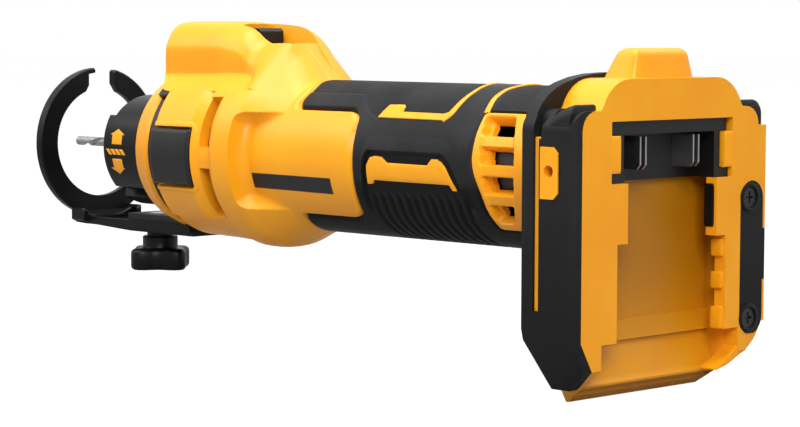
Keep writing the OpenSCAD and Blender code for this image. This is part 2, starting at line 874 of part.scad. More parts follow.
module scoop() {
    plate_y(-channel_half, hump_half + overrun)
        polygon(concat(
            [[scoop_rear_x, scoop_z]],
            [
                for (i = [0:scoop_steps])
                    [
                        scoop_front_x + scoop_run * i / scoop_steps,
                        scoop_z + (hump_top_z - scoop_z) * (1 - cos(180 * i / scoop_steps)) / 2
                    ]
            ],
            [[scoop_front_x + scoop_run, hump_top_z + overrun], [scoop_rear_x, hump_top_z + overrun]]
        ));
}
module barrel_body() {
    difference() {
        union() {
            turned()
                polygon(body_profile);
            intersection() {
                rod_x(barrel_r, panel_rear_x, grip_front_x + overrun);
                side_panel_form(0);
            }
            intersection() {
                rod_x(barrel_r, vent_rear_x, vent_front_x);
                vent_window_form(0);
            }
            hump();
        }
        // Side pockets around the panel
        difference() {
            plate_y(-beyond, beyond)
                polygon(soft_box(
                    [pocket_rear_x, -pocket_drop], [pocket_front_x, pocket_top_z], pocket_round
                ));
            rod_x(barrel_r, pocket_rear_x - overrun, pocket_front_x + overrun);
        }
        scoop();
        difference() {
            turned()
                polygon(bore_profile);
            for (s = screw_spots)
                translate([s[0], 0, s[1]])
                    rod_y(screw_boss_r, -barrel_r, barrel_r);
        }
        // Hollow of the hump, slide channel and stem slot
        block(
            [hump_hollow_rear_x, -hump_hollow_half, hump_hollow_foot_z],
            [hump_hollow_front_x, hump_hollow_half, hump_hollow_top_z]
        );
        block([channel_rear_x, -channel_half, channel_floor_z], [channel_front_x, channel_half, channel_roof_z]);
        block(
            [
                slider_tail_x + slider_stem_setback - run_gap, -slider_stem_half - run_gap,
                hump_hollow_top_z - overrun
            ],
            [
                slider_tail_x + slider_stem_setback + slider_stem_length + slider_travel + run_gap,
                slider_stem_half + run_gap, channel_floor_z + overrun
            ]
        );
        block(
            [light_chamber_x, -light_chamber_half, light_chamber_foot_z],
            [hump_front_x - light_wall, light_chamber_half, light_chamber_top_z]
        );
        translate([0, 0, light_z])
            rod_x(light_r + seat_gap, light_chamber_x, hump_front_x + overrun);
        // Intake openings
        for (i = [0:vent_count - 1])
            plate_y(-beyond, beyond)
                polygon(soft_box(
                    [vent_rear_x + vent_rear_rim, vent_z(i) - vent_slot / 2],
                    [vent_front_x - vent_front_rim, vent_z(i) + vent_slot / 2],
                    vent_slot / 3
                ));
        // Exhaust openings, two on each side of the bridge
        each_side()
            for (a = [exhaust_bridge_angle, -exhaust_end_angle])
                sector(
                    exhaust_inner_r, bulge_r + overrun, exhaust_x, exhaust_x + exhaust_width,
                    a, a + exhaust_end_angle - exhaust_bridge_angle
                );
        // Windows of the release pads
        each_side()
            pad_form(run_gap, band_r - overrun - overrun, casing_r + overrun);
        // Screw holes
        for (i = [0:len(screw_spots) - 1])
            translate([screw_spots[i][0], 0, screw_spots[i][1]]) {
                rod_y(screw_shank_r + screw_gap, screw_head_ys[i] - overrun, screw_bury);
                rod_y(screw_head_r + screw_gap, -screw_sink_ys[i] - overrun, screw_head_ys[i] + screw_head);
            }
    }
}
module housing_form() {
    difference() {
        dock_core();
        rod_x(bore_r, front_wall_x - overrun, dock_depth + overrun);
    }
    barrel_body();
}
module housing_left() {
    color("gold")
        intersection() {
            housing_form();
            left_half();
        }
}
module housing_right() {
    color("gold")
        intersection() {
            housing_form();
            right_half();
        }
}
module grip_form() {
    difference() {
        turned()
            polygon([
                [core_r + seat_gap, dock_depth], [barrel_r, dock_depth], [barrel_r, grip_front_x],
                [core_r + seat_gap, grip_front_x]
            ]);
        side_panel_form(seat_gap);
        vent_window_form(seat_gap);
        // Cast grooves round the underside
        intersection() {
            for (i = [0:grip_groove_count - 1])
                turned()
                    polygon([
                        [barrel_r - groove_depth, grip_groove_x + i * groove_pitch],
                        [barrel_r + overrun, grip_groove_x + i * groove_pitch],
                        [barrel_r + overrun, grip_groove_x + i * groove_pitch + grip_groove_width],
                        [barrel_r - groove_depth, grip_groove_x + i * groove_pitch + grip_groove_width]
                    ]);
            block([-beyond, -beyond, -beyond], [beyond, beyond, grip_groove_top_z]);
        }
        for (i = [0:1])
            translate([screw_spots[i][0], 0, screw_spots[i][1]])
                rod_y(screw_head_r + screw_gap, -barrel_r - overrun, screw_head_ys[i] + screw_bury);
    }
}
module grip_left() {
    color("dimgray")
        intersection() {
            grip_form();
            left_half();
        }
}
module grip_right() {
    color("dimgray")
        intersection() {
            grip_form();
            right_half();
        }
}
module dock_bumper_left() {
    color("dimgray")
        difference() {
            intersection() {
                bumper_form();
                left_half();
            }
            // Bevel round the rear edge
            rear_edge_wedge();
        }
}
// Wedge that bevels the rear edge of the left bumper
module rear_edge_wedge() {
    translate([0, 0, -beyond])
        linear_extrude(beyond + beyond)
            polygon([
                [-overrun, dock_half - bumper_bevel], [0, dock_half - bumper_bevel + seat_gap],
                [bumper_bevel, dock_half], [bumper_bevel, dock_half + overrun], [-overrun, dock_half + overrun]
            ]);
}
module dock_bumper_right() {
    color("dimgray")
        difference() {
            union() {
                difference() {
                    intersection() {
                        bumper_form();
                        right_half();
                    }
                    difference() {
                        block(
                            [-overrun, -dock_half - overrun, -side_drop - beyond],
                            [flange_thick + seat_gap, -core_half + overrun, beyond]
                        );
                        block(
                            [-beyond, -beyond, -notch_low_drop + seat_gap],
                            [beyond, beyond, -notch_top_drop - seat_gap]
                        );
                    }
                }
                intersection() {
                    strip_form(0, strip_thick - seat_gap);
                    block([0, -beyond, -beyond], [beyond, beyond, beyond]);
                }
                // Bridge from the strip to the side
                block(
                    [0, -dock_half, -notch_low_drop + seat_gap],
                    [strip_thick - seat_gap, -core_half - seat_gap, -notch_top_drop - seat_gap]
                );
            }
            for (drop = strip_screw_drops)
                translate([0, -strip_screw_y, -drop]) {
                    rod_x(screw_shank_r + screw_gap, -overrun, strip_thick + overrun);
                    rod_x(screw_head_r + screw_gap, -overrun, strip_thick / 2);
                }
        }
}
// Outline of a release pad across the left side
module pad_form(grow, y0, y1) {
    plate_y(y0, y1)
        polygon([
            [pad_rear_x - grow, pad_low_z + pad_corner], [pad_rear_x + pad_corner, pad_low_z - grow],
            [pad_rear_x + pad_length + grow + grow, pad_low_z - grow],
            [pad_rear_x + pad_length + grow + grow, pad_top_z + grow],
            [pad_rear_x + pad_corner, pad_top_z + grow], [pad_rear_x - grow, pad_top_z - pad_corner]
        ]);
}
module release_pad() {
    intersection() {
        pad_form(0, pad_inner_y, pad_outer_r + overrun);
        rod_x(pad_outer_r, pad_rear_x - overrun, pad_rear_x + pad_length + overrun);
    }
    for (z = pad_post_zs)
        translate([pad_post_x, 0, z])
            rod_y(pad_post_r, pad_post_end_y + pad_travel + run_gap, pad_inner_y + seat_gap);
}
module release_pad_left() {
    color("black")
        release_pad();
}
module release_pad_right() {
    color("black")
        mirror([0, 1, 0])
            release_pad();
}
module nose_frame() {
    color("black")
        difference() {
            union() {
                turned()
                    polygon([
                        [bearing_r + seat_gap, seat_x], [seat_r, seat_x], [seat_r, seat_x + seat_length],
                        [band_r, seat_x + seat_length], [band_r, casing_front_x + run_gap],
                        [flange_r, casing_front_x + run_gap], [flange_r, ring_rear_x], [journal_r, ring_rear_x],
                        [journal_r, snap_x], [journal_r - snap_depth, snap_x],
                        [journal_r - snap_depth, snap_x + snap_width + run_gap + run_gap],
                        [journal_r, snap_x + snap_width + run_gap + run_gap], [journal_r, journal_front_x],
                        [journal_r - journal_wall, journal_front_x], [journal_r - journal_wall, nose_well_x],
                        [bearing_shoulder_r, nose_well_x], [bearing_shoulder_r, bearing_x + bearing_width],
                        [bearing_r + seat_gap, bearing_x + bearing_width]
                    ]);
                // Tongue that carries the depth guide
                block(
                    [casing_front_x + seat_gap, -tongue_half, tongue_foot_z], [ring_rear_x, tongue_half, -journal_r]
                );
                block(
                    [casing_front_x + seat_gap, -tongue_half, tongue_foot_z],
                    [tongue_front_x, tongue_half, tongue_top_z]
                );
                // Lugs at the upper ends of the band
                each_side()
                    sector(
                        flange_r - overrun, flange_r + band_lug_rise, casing_front_x + run_gap,
                        ring_rear_x - seat_gap, band_lug_angle, band_lug_angle + band_lug_span
                    );
            }
            each_side() {
                pad_form(run_gap, pad_well_y, casing_r);
                for (z = pad_post_zs)
                    translate([pad_post_x, 0, z])
                        rod_y(pad_post_r + pad_post_gap, pad_post_end_y, seat_r + overrun);
            }
            translate([knob_x, 0, 0])
                rod_z(insert_r + seat_gap, tongue_foot_z - overrun, tongue_top_z + overrun);
        }
}
module nose_ring() {
    color("gold")
        difference() {
            turned()
                polygon([
                    [journal_r + seat_gap, ring_rear_x], [ring_rear_r - casing_edge, ring_rear_x],
                    [ring_rear_r, ring_rear_x + casing_edge], [ring_front_r, ring_front_x - casing_edge],
                    [ring_front_r - casing_edge, ring_front_x], [journal_r + seat_gap, ring_front_x]
                ]);
            block(
                [ring_rear_x - overrun, -tongue_half - seat_gap, -beyond],
                [ring_front_x + overrun, tongue_half + seat_gap, tongue_top_z + seat_gap]
            );
            block(
                [ring_rear_x - overrun, -bar_half - run_gap, -beyond],
                [ring_front_x + overrun, bar_half + run_gap, bar_side_z + run_gap]
            );
        }
}
function collar_turn(i) = collar_start + (i + 0.5) * 360 / collar_panels;
module bit_collar() {
    color("black")
        difference() {
            turned()
                polygon(concat(
                    [
                        [collar_inner_r, collar_rear_x], [collar_r - casing_edge / 2, collar_rear_x],
                        [collar_r, collar_rear_x + casing_edge / 2]
                    ],
                    [
                        for (i = [0:corner_steps])
                            [
                                collar_r - collar_round * (1 - cos(90 * i / corner_steps)),
                                collar_front_x - collar_round * (1 - sin(90 * i / corner_steps))
                            ]
                    ],
                    [
                        [collar_mouth_r, collar_front_x], [collar_mouth_r, collar_front_x - collar_lip],
                        [collar_inner_r, collar_front_x - collar_lip],
                        [collar_inner_r, snap_x + snap_width + run_gap],
                        [collar_inner_r - snap_depth, snap_x + snap_width + run_gap],
                        [collar_inner_r - snap_depth, snap_x + run_gap], [collar_inner_r, snap_x + run_gap]
                    ]
                ));
            // Shallow channels between the four finger panels
            for (i = [0:collar_panels - 1])
                sector(
                    collar_r - collar_channel, collar_r + overrun, collar_rear_x + collar_rim,
                    collar_front_x + overrun, collar_turn(i) - collar_channel_angle / 2,
                    collar_turn(i) + collar_channel_angle / 2
                );
        }
}
module terminal_block() {
    color("black")
        difference() {
            union() {
                block(
                    [cavity_depth - terminal_plate, -terminal_leg_half, -terminal_foot],
                    [cavity_depth, terminal_leg_half, terminal_top_z]
                );
                block(
                    [terminal_rear_x, -terminal_half, terminal_top_z - terminal_bar],
                    [cavity_depth, terminal_half, terminal_top_z]
                );
                each_side() {
                    block(
                        [terminal_rear_x, terminal_leg_half - terminal_leg, -terminal_foot],
                        [cavity_depth, terminal_leg_half, terminal_top_z]
                    );
                    block(
                        [terminal_rear_x, terminal_leg_half - terminal_leg, -terminal_foot],
                        [terminal_rear_x + terminal_foot_depth, terminal_foot_half, terminal_foot]
                    );
                }
            }
            for (y = blade_ys)
                block(
                    [terminal_rear_x, y - blade_thick / 2 - seat_gap, blade_foot_z - seat_gap],
                    [cavity_depth + overrun, y + blade_thick / 2 + seat_gap, blade_top_z + seat_gap]
                );
        }
}
module terminal_blades() {
    color("silver")
        for (y = blade_ys)
            plate_y(y - blade_thick / 2, y + blade_thick / 2)
                polygon([
                    [blade_rear_x, blade_foot_z + blade_bevel],
                    [blade_rear_x + blade_bevel, blade_foot_z], [blade_front_x, blade_foot_z],
                    [blade_front_x, blade_top_z], [blade_rear_x, blade_top_z]
                ]);
}
module control_tray() {
    color("gray")
        difference() {
            intersection() {
                rod_x(tray_r, tray_x, tray_x + tray_length);
                block([tray_x, -beyond, -tray_half_z], [tray_x + tray_length, beyond, tray_half_z]);
            }
            block(
                [tray_x + tray_wall, -tray_r + tray_wall + tray_wall, tray_half_z - tray_well],
                [tray_x + tray_length - tray_wall, tray_r - tray_wall - tray_wall, tray_half_z + overrun]
            );
        }
}
module control_board() {
    color("green") {
        block(
            [tray_x + board_inset, -tray_r + tray_wall + board_inset, tray_half_z - tray_well],
            [
                tray_x + tray_length - board_inset, tray_r - tray_wall - board_inset,
                tray_half_z - tray_well + board_thick
            ]
        );
        for (i = [0:chip_count - 1])
            translate([tray_x + board_inset + chip_size / 2 + i * chip_pitch, -chip_size / 2, 0])
                block(
                    [0, 0, tray_half_z - tray_well + board_thick],
                    [chip_size, chip_size, tray_half_z - tray_well + board_thick + chip_height]
                );
    }
}
module power_leads() {
    color("red")
        for (y = [lead_y, -lead_y])
            translate([0, y, lead_z])
                rod_x(lead_r, blade_front_x, tray_x);
}
module motor_leads() {
    color("blue")
        for (a = motor_lead_angles)
            rotate([a - 180, 0, 0])
                translate([0, motor_lead_ring_r, 0])
                    rod_x(motor_lead_r, tray_x + tray_length, rear_plate_x);
}
module switch_body() {
    color("black") {
        block(
            [switch_rear_x, -hump_hollow_half + seat_gap, switch_foot_z],
            [switch_rear_x + switch_length, hump_hollow_half - seat_gap, switch_top_z - switch_lever]
        );
        block(
            [switch_rear_x, -slider_stem_half, switch_top_z - switch_lever - seat_gap],
            [slider_tail_x + slider_stem_setback - run_gap, slider_stem_half, hump_hollow_top_z - run_gap]
        );
    }
}
module switch_slider() {
    color("black")
        difference() {
            union() {
                plate_y(-slider_half, slider_half)
                    polygon([
                        [slider_tail_x, slider_foot_z], [slider_rear_x + slider_length, slider_foot_z],
                        [slider_rear_x + slider_length, slider_top_z], [slider_rear_x + slider_edge, slider_top_z],
                        [slider_rear_x, slider_top_z - slider_edge], [slider_rear_x, slider_foot_z + slider_tail_height],
                        [slider_tail_x, slider_foot_z + slider_tail_height]
                    ]);
                block(
                    [slider_tail_x + slider_stem_setback, -slider_stem_half, slider_stem_foot_z],
                    [
                        slider_tail_x + slider_stem_setback + slider_stem_length, slider_stem_half,
                        slider_foot_z + overrun
                    ]
                );
            }
            for (i = [0:slider_ridge_count - 1])
                block(
                    [
                        slider_rear_x + slider_edge + i * slider_ridge_pitch + slider_ridge, -slider_half - overrun,
                        slider_top_z - slider_ridge
                    ],
                    [
                        slider_rear_x + slider_edge + (i + 1) * slider_ridge_pitch, slider_half + overrun,
                        slider_top_z + overrun
                    ]
                );
        }
}
module light_lens() {
    color("white")
        translate([0, 0, light_z]) {
            rod_x(light_r, hump_front_x - light_wall - overrun, hump_front_x);
            rod_x(light_r + overrun, hump_front_x - light_wall - overrun, hump_front_x - light_wall);
        }
}
module light_board() {
    color("green")
        block(
            [light_chamber_x, -light_chamber_half + seat_gap, light_chamber_foot_z + seat_gap],
            [hump_front_x - light_wall - overrun, light_chamber_half - seat_gap, light_chamber_top_z - seat_gap]
        );
}
module stator_core() {
    color("slategray")
        difference() {
            union() {
                difference() {
                    rod_x(stator_r, stator_x, stator_x + stator_length);
                    rod_x(stator_r - yoke, stator_x - overrun, stator_x + stator_length + overrun);
                }
                for (i = [0:teeth - 1])
                    rotate([i * 360 / teeth, 0, 0]) {
                        block([stator_x, 0, -tooth_half], [stator_x + stator_length, stator_r - yoke / 2, tooth_half]);
                        block(
                            [stator_x, 0, -tooth_shoe_half],
                            [stator_x + stator_length, stator_bore + tooth_shoe, tooth_shoe_half]
                        );
                    }
            }
            rod_x(stator_bore, stator_x - overrun, stator_x + stator_length + overrun);
        }
}
module stator_coils() {
    color("chocolate")
        for (i = [0:teeth - 1])
            rotate([i * 360 / teeth, 0, 0])
                difference() {
                    block(
                        [stator_x - coil_end, stator_bore + tooth_shoe + run_gap, -tooth_half - coil_build],
                        [
                            stator_x + stator_length + coil_end, stator_r - yoke - run_gap - overrun,
                            tooth_half + coil_build
                        ]
                    );
                    block(
                        [stator_x - seat_gap, 0, -tooth_half - seat_gap],
                        [stator_x + stator_length + seat_gap, beyond, tooth_half + seat_gap]
                    );
                }
}
module rear_plate() {
    color("black")
        difference() {
            rod_x(bore_r - seat_gap, rear_plate_x, rear_plate_x + rear_plate);
            rod_x(rear_bearing_r + seat_gap, rear_plate_x + rear_plate - rear_bearing_width, rear_plate_x + rear_plate + overrun);
            rod_x(rear_bearing_r - rear_plate_hub, rear_plate_x - overrun, rear_plate_x + rear_plate);
            for (i = [0:rear_plate_ports - 1])
                rotate([i * 360 / rear_plate_ports, 0, 0])
                    translate([0, rear_plate_port_ring_r, 0])
                        rod_x(rear_plate_port_r, rear_plate_x - overrun, rear_plate_x + rear_plate + overrun);
        }
}

// Deep groove ball bearings, each by its bore, outer radius, station and width
race_share = 0.3;
ball_share = 0.24;
front_balls = 7;
rear_balls = 8;
rear_bearing_x = rear_plate_x + rear_plate - rear_bearing_width;
front_bearing = [shaft_r + seat_gap, bearing_r, bearing_x, bearing_width];
rear_bearing = [rear_bearing_bore + seat_gap, rear_bearing_r, rear_bearing_x, rear_bearing_width];
function ball_ring(b) = (b[0] + b[1]) / 2;
function ball_r(b) = (b[1] - b[0]) * ball_share;
module race(b, inner) {
    color("silver")
        turned()
            difference() {
                translate([inner ? b[0] : b[1] - (b[1] - b[0]) * race_share, b[2]])
                    square([(b[1] - b[0]) * race_share, b[3]]);
                translate([ball_ring(b), b[2] + b[3] / 2])
                    circle(r = ball_r(b) + seat_gap);
            }
}
module balls(b, count) {
    color("silver")
        for (i = [0:count - 1])
            rotate([i * 360 / count, 0, 0])
                translate([b[2] + b[3] / 2, ball_ring(b), 0])
                    sphere(r = ball_r(b));
}
module front_bearing_outer() {
    race(front_bearing, false);
}
module front_bearing_inner() {
    race(front_bearing, true);
}
module front_bearing_balls() {
    balls(front_bearing, front_balls);
}
module rear_bearing_outer() {
    race(rear_bearing, false);
}
module rear_bearing_inner() {
    race(rear_bearing, true);
}
module rear_bearing_balls() {
    balls(rear_bearing, rear_balls);
}
module air_baffle() {
    color("black")
        difference() {
            rod_x(fan_bore_r - seat_gap, fan_rear_x, fan_rear_x + baffle_thick);
            rod_x(baffle_port_r, fan_rear_x - overrun, fan_rear_x + baffle_thick + overrun);
        }
}
module housing_screws() {
    color("silver")
        for (i = [0:len(screw_spots) - 1])
            translate([screw_spots[i][0], 0, screw_spots[i][1]])
                difference() {
                    union() {
                        rod_y(screw_shank_r, screw_head_ys[i], screw_bury - screw_gap);
                        rod_y(screw_head_r, screw_head_ys[i], screw_head_ys[i] + screw_head);
                    }
                    for (turn = [0, 90])
                        rotate([0, turn, 0])
                            block(
                                [-screw_head_r * race_share * 2, screw_head_ys[i] - overrun, -screw_slot / 2],
                                [screw_head_r * race_share * 2, screw_head_ys[i] + screw_slot_depth, screw_slot / 2]
                            );
                }
}
module dock_screws() {
    color("silver")
        for (drop = strip_screw_drops)
            translate([0, -strip_screw_y, -drop])
                difference() {
                    union() {
                        rod_x(screw_shank_r, 0, strip_thick + screw_bury - screw_gap);
                        rod_x(screw_head_r, 0, strip_thick / 2);
                    }
                    for (turn = [0, 90])
                        rotate([turn, 0, 0])
                            block(
                                [-overrun, -screw_head_r * race_share * 2, -screw_slot / 2],
                                [strip_thick / 2, screw_head_r * race_share * 2, screw_slot / 2]
                            );
                }
}
module guide_insert() {
    color("goldenrod")
        translate([knob_x, 0, 0])
            difference() {
                rod_z(insert_r, tongue_foot_z, tongue_top_z);
                rod_z(stud_r + stud_gap, tongue_foot_z - overrun, tongue_top_z + overrun);
            }
}
module spindle_shaft() {
    color("silver")
        difference() {
            union() {
                rod_x(rear_bearing_bore, rear_bearing_x - rear_plate_hub / 2, stator_x);
                rod_x(shaft_r, stator_x - air_gap_end - overrun, spindle_nose_x + overrun);
                rod_x(spindle_nose_r, spindle_nose_x, spindle_front_x);
            }
            rod_x(collet_r + seat_gap, spindle_front_x - collet_seat, spindle_front_x + overrun);
        }
}
module rotor_core() {
    color("slategray")
        difference() {
            rod_x(rotor_r - magnet_thick - seat_gap, stator_x - rotor_over, stator_x + stator_length + rotor_over);
            rod_x(shaft_r + seat_gap, stator_x - rotor_over - overrun, stator_x + stator_length + rotor_over + overrun);
        }
}
module rotor_magnets() {
    color("gray")
        for (i = [0:magnet_count - 1])
            sector(
                rotor_r - magnet_thick, rotor_r, stator_x, stator_x + stator_length,
                i * 360 / magnet_count, (i + 1) * 360 / magnet_count - magnet_gap_angle
            );
}
module fan() {
    color("black")
        difference() {
            union() {
                rod_x(fan_hub_r, fan_x, fan_x + fan_width);
                rod_x(fan_r, fan_x + fan_width - fan_plate, fan_x + fan_width);
                for (i = [0:fan_blades - 1])
                    rotate([i * 360 / fan_blades, 0, 0])
                        block([fan_x, fan_blade_root, 0], [fan_x + fan_width, fan_r - overrun, fan_blade]);
            }
            rod_x(shaft_r + seat_gap, fan_x - overrun, fan_x + fan_width + overrun);
        }
}
module collet() {
    color("silver")
        difference() {
            turned()
                polygon([
                    [bit_r + seat_gap / 2, spindle_front_x - collet_seat], [collet_r, spindle_front_x - collet_seat],
                    [collet_r, spindle_front_x], [collet_tip_r, spindle_front_x + collet_head],
                    [bit_r + seat_gap / 2, spindle_front_x + collet_head]
                ]);
            for (i = [0:collet_slits - 1])
                rotate([i * 180 / collet_slits, 0, 0])
                    block(
                        [spindle_front_x - collet_seat + collet_root, -collet_r - overrun, -collet_slit / 2],
                        [spindle_front_x + collet_head + overrun, collet_r + overrun, collet_slit / 2]
                    );
        }
}
module collet_nut() {
    color("dimgray")
        difference() {
            turned()
                polygon([
                    [spindle_nose_r + seat_gap, nut_rear_x], [nut_r, nut_rear_x],
                    [nut_r, spindle_front_x + collet_head - nut_edge],
                    [nut_r - nut_edge, spindle_front_x + collet_head + nut_lip - nut_edge],
                    [nut_r - nut_edge - nut_edge, spindle_front_x + collet_head + nut_lip],
                    [collet_tip_r + seat_gap, spindle_front_x + collet_head + nut_lip],
                    [collet_tip_r + seat_gap, spindle_front_x + collet_head],
                    [collet_r + seat_gap, spindle_front_x + seat_gap],
                    [spindle_nose_r + seat_gap, spindle_front_x + seat_gap]
                ]);
            for (side = [0, 180])
                rotate([side, 0, 0])
                    block(
                        [spindle_front_x + collet_head - nut_flat_length, nut_flat_half, -beyond],
                        [beyond, beyond, beyond]
                    );
        }
}
module cutting_bit() {
    color("lightgray") {
        rod_x(bit_r, spindle_front_x - collet_seat + overrun, bit_tip_x - flute_length);
        translate([bit_tip_x - flute_length, 0, 0])
            rotate([0, 90, 0])
                linear_extrude(flute_length - flute_tip, twist = flute_turn, slices = flute_steps)
                    difference() {
                        circle(r = bit_r, $fn = flute_facets);
                        translate([flute_set, 0])
                            circle(r = flute_r, $fn = flute_facets);
                    }
        translate([bit_tip_x - flute_tip, 0, 0])
            rotate([0, 90, 0])
                cylinder(r1 = bit_r / 2, r2 = bit_r / 4, h = flute_tip);
    }
}
module depth_guide() {
    color("black")
        difference() {
            union() {
                // Open ring with a lip round its front edge
                difference() {
                    turned()
                        polygon([
                            [guide_inner_r, guide_rear_x], [guide_outer_r - guide_taper, guide_rear_x],
                            [guide_outer_r - guide_lip, guide_rear_x + guide_taper],
                            [guide_outer_r - guide_lip, guide_front_x - guide_lip_width],
                            [guide_outer_r, guide_front_x - guide_lip_width], [guide_outer_r, guide_front_x],
                            [guide_inner_r + guide_taper, guide_front_x], [guide_inner_r, guide_front_x - guide_taper]
                        ]);
                    block([guide_rear_x - overrun, -guide_gap_half, 0], [guide_front_x + overrun, guide_gap_half, beyond]);
                }
                block([bar_rear_x, -bar_half, bar_foot_z], [guide_front_x - guide_lip_width, bar_half, bar_floor_z]);
                each_side()
                    block(
                        [bar_rear_x, tongue_half + bar_side_gap, bar_foot_z],
                        [guide_front_x - guide_lip_width, bar_half, bar_side_z]
                    );
                difference() {
                    block(
                        [guide_rear_x, -bar_half, bar_foot_z],
                        [guide_front_x - guide_lip_width, bar_half, -guide_inner_r + overrun]
                    );
                    rod_x(guide_inner_r, guide_rear_x - overrun, guide_front_x + overrun);
                }
            }
            // Step along the lower edges of the bar
            each_side()
                block(
                    [bar_rear_x - overrun, bar_step_half, bar_foot_z - overrun],
                    [guide_rear_x, bar_half + overrun, bar_foot_z + bar_step]
                );
            // Slot for the clamp stud
            translate([0, 0, bar_foot_z - overrun])
                linear_extrude(bar_floor + overrun + overrun)
                    polygon(soft_box(
                        [knob_x - guide_travel - bar_slot_half, -bar_slot_half], [knob_x + bar_slot_half, bar_slot_half],
                        bar_slot_half - seat_gap
                    ));
        }
}
// Three soft lobes: the radius swings between the valleys and the tips
function knob_reach(a) = (knob_r + knob_valley_r) / 2 + (knob_r - knob_valley_r) / 2 * cos(knob_lobes * (a - knob_start));
module guide_knob() {
    color("black")
        translate([knob_x, 0, 0])
            difference() {
                union() {
                    rod_z(knob_washer_r, bar_foot_z - knob_washer, bar_foot_z);
                    rod_z(knob_neck_r, knob_top_z - knob_edge, bar_foot_z - knob_washer);
                    intersection() {
                        translate([0, 0, knob_top_z - knob_height])
                            linear_extrude(knob_height)
                                polygon([
                                    for (i = [0:knob_steps - 1])
                                        knob_reach(i * 360 / knob_steps)
                                            * [cos(i * 360 / knob_steps), sin(i * 360 / knob_steps)]
                                ]);
                        translate([0, 0, knob_top_z - knob_height])
                            rotate_extrude()
                                polygon([
                                    [0, 0], [knob_r - knob_round, 0], [knob_r + overrun - knob_edge, knob_round],
                                    [knob_r + overrun - knob_edge, knob_height - knob_edge],
                                    [knob_r - knob_edge, knob_height], [0, knob_height]
                                ]);
                    }
                }
                rod_z(stud_r + seat_gap, knob_top_z + stud_set - knob_height, bar_foot_z + overrun);
            }
}
module guide_stud() {
    color("silver")
        translate([knob_x, 0, 0])
            rod_z(stud_r, knob_top_z + stud_set - knob_height, tongue_top_z);
}

function shown(name) = node == "all" || node == name;
if (shown("housing_left")) housing_left();
if (shown("housing_right")) housing_right();
if (shown("grip_left")) grip_left();
if (shown("grip_right")) grip_right();
if (shown("dock_bumper_left")) dock_bumper_left();
if (shown("dock_bumper_right")) dock_bumper_right();
if (shown("nose_frame")) nose_frame();
if (shown("nose_ring")) nose_ring();
if (shown("terminal_block")) terminal_block();
if (shown("terminal_blades")) terminal_blades();
if (shown("control_tray")) control_tray();
if (shown("control_board")) control_board();
if (shown("power_leads")) power_leads();
if (shown("motor_leads")) motor_leads();
if (shown("switch_body")) switch_body();
if (shown("light_lens")) light_lens();
if (shown("light_board")) light_board();
if (shown("stator_core")) stator_core();
if (shown("stator_coils")) stator_coils();
if (shown("rear_plate")) rear_plate();
if (shown("front_bearing_outer")) front_bearing_outer();
if (shown("rear_bearing_outer")) rear_bearing_outer();
if (shown("front_bearing_balls")) front_bearing_balls();
if (shown("rear_bearing_balls")) rear_bearing_balls();
if (shown("air_baffle")) air_baffle();
if (shown("housing_screws")) housing_screws();
if (shown("dock_screws")) dock_screws();
if (shown("guide_insert")) guide_insert();
if (shown("spindle_shaft")) spindle_shaft();
if (shown("rotor_core")) rotor_core();
if (shown("rotor_magnets")) rotor_magnets();
if (shown("fan")) fan();
if (shown("front_bearing_inner")) front_bearing_inner();
if (shown("rear_bearing_inner")) rear_bearing_inner();
if (shown("collet")) collet();
if (shown("collet_nut")) collet_nut();
if (shown("cutting_bit")) cutting_bit();
if (shown("bit_collar")) bit_collar();
if (shown("depth_guide")) depth_guide();
if (shown("guide_knob")) guide_knob();
if (shown("guide_stud")) guide_stud();
if (shown("switch_slider")) switch_slider();
if (shown("release_pad_left")) release_pad_left();
if (shown("release_pad_right")) release_pad_right();
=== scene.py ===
"""Finish of a cordless drywall cut-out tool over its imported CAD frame.

Shapes are worked out in millimetres and degrees about the spindle line: x runs forward to the bit,
an angle of 0 points to the left side and 90 to the top.
"""

import math

import bmesh
import bpy
import numpy as np
from bpy.props import FloatProperty, FloatVectorProperty, PointerProperty
from mathutils import Matrix, Vector


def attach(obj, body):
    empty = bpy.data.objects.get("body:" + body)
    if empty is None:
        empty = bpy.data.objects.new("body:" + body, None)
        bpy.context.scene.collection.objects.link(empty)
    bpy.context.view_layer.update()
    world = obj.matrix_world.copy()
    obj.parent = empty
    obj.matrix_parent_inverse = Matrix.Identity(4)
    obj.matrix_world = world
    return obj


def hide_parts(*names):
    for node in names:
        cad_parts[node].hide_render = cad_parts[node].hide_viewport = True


bl_info = {
    "name": "Drywall cut-out tool",
    "version": (1, 0, 0),
    "blender": (4, 5, 0),
    "location": "View3D > Sidebar > Cut-out tool",
    "description": "Builds the shells, grip, dock, nose and depth guide of a cordless cut-out tool",
    "category": "Object",
}

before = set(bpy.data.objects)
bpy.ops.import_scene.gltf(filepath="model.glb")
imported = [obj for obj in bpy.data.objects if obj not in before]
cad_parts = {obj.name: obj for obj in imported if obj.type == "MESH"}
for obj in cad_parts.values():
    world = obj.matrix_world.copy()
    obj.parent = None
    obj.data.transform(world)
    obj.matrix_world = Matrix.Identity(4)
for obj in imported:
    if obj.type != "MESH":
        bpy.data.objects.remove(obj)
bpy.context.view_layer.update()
MM = 0.001
# Points of a CAD node nearer than this, in metres, are one point
CAD_WELD = 2e-6
# Faces within this angle in degrees are one flat face, and edges past the other are rounded
FLAT_ANGLE, BEVEL_ANGLE = 0.7, 34
# Points nearer than this, in millimetres, close a pole of a grid
POLE = 0.002


def length(name, description, default):
    """A size property in metres."""
    return FloatProperty(name=name, description=description, default=default, unit="LENGTH", precision=5)


def tint(name, description, default):
    """A colour property, linear."""
    return FloatVectorProperty(
        name=name, description=description, default=default, subtype="COLOR", size=3, min=0, max=1
    )


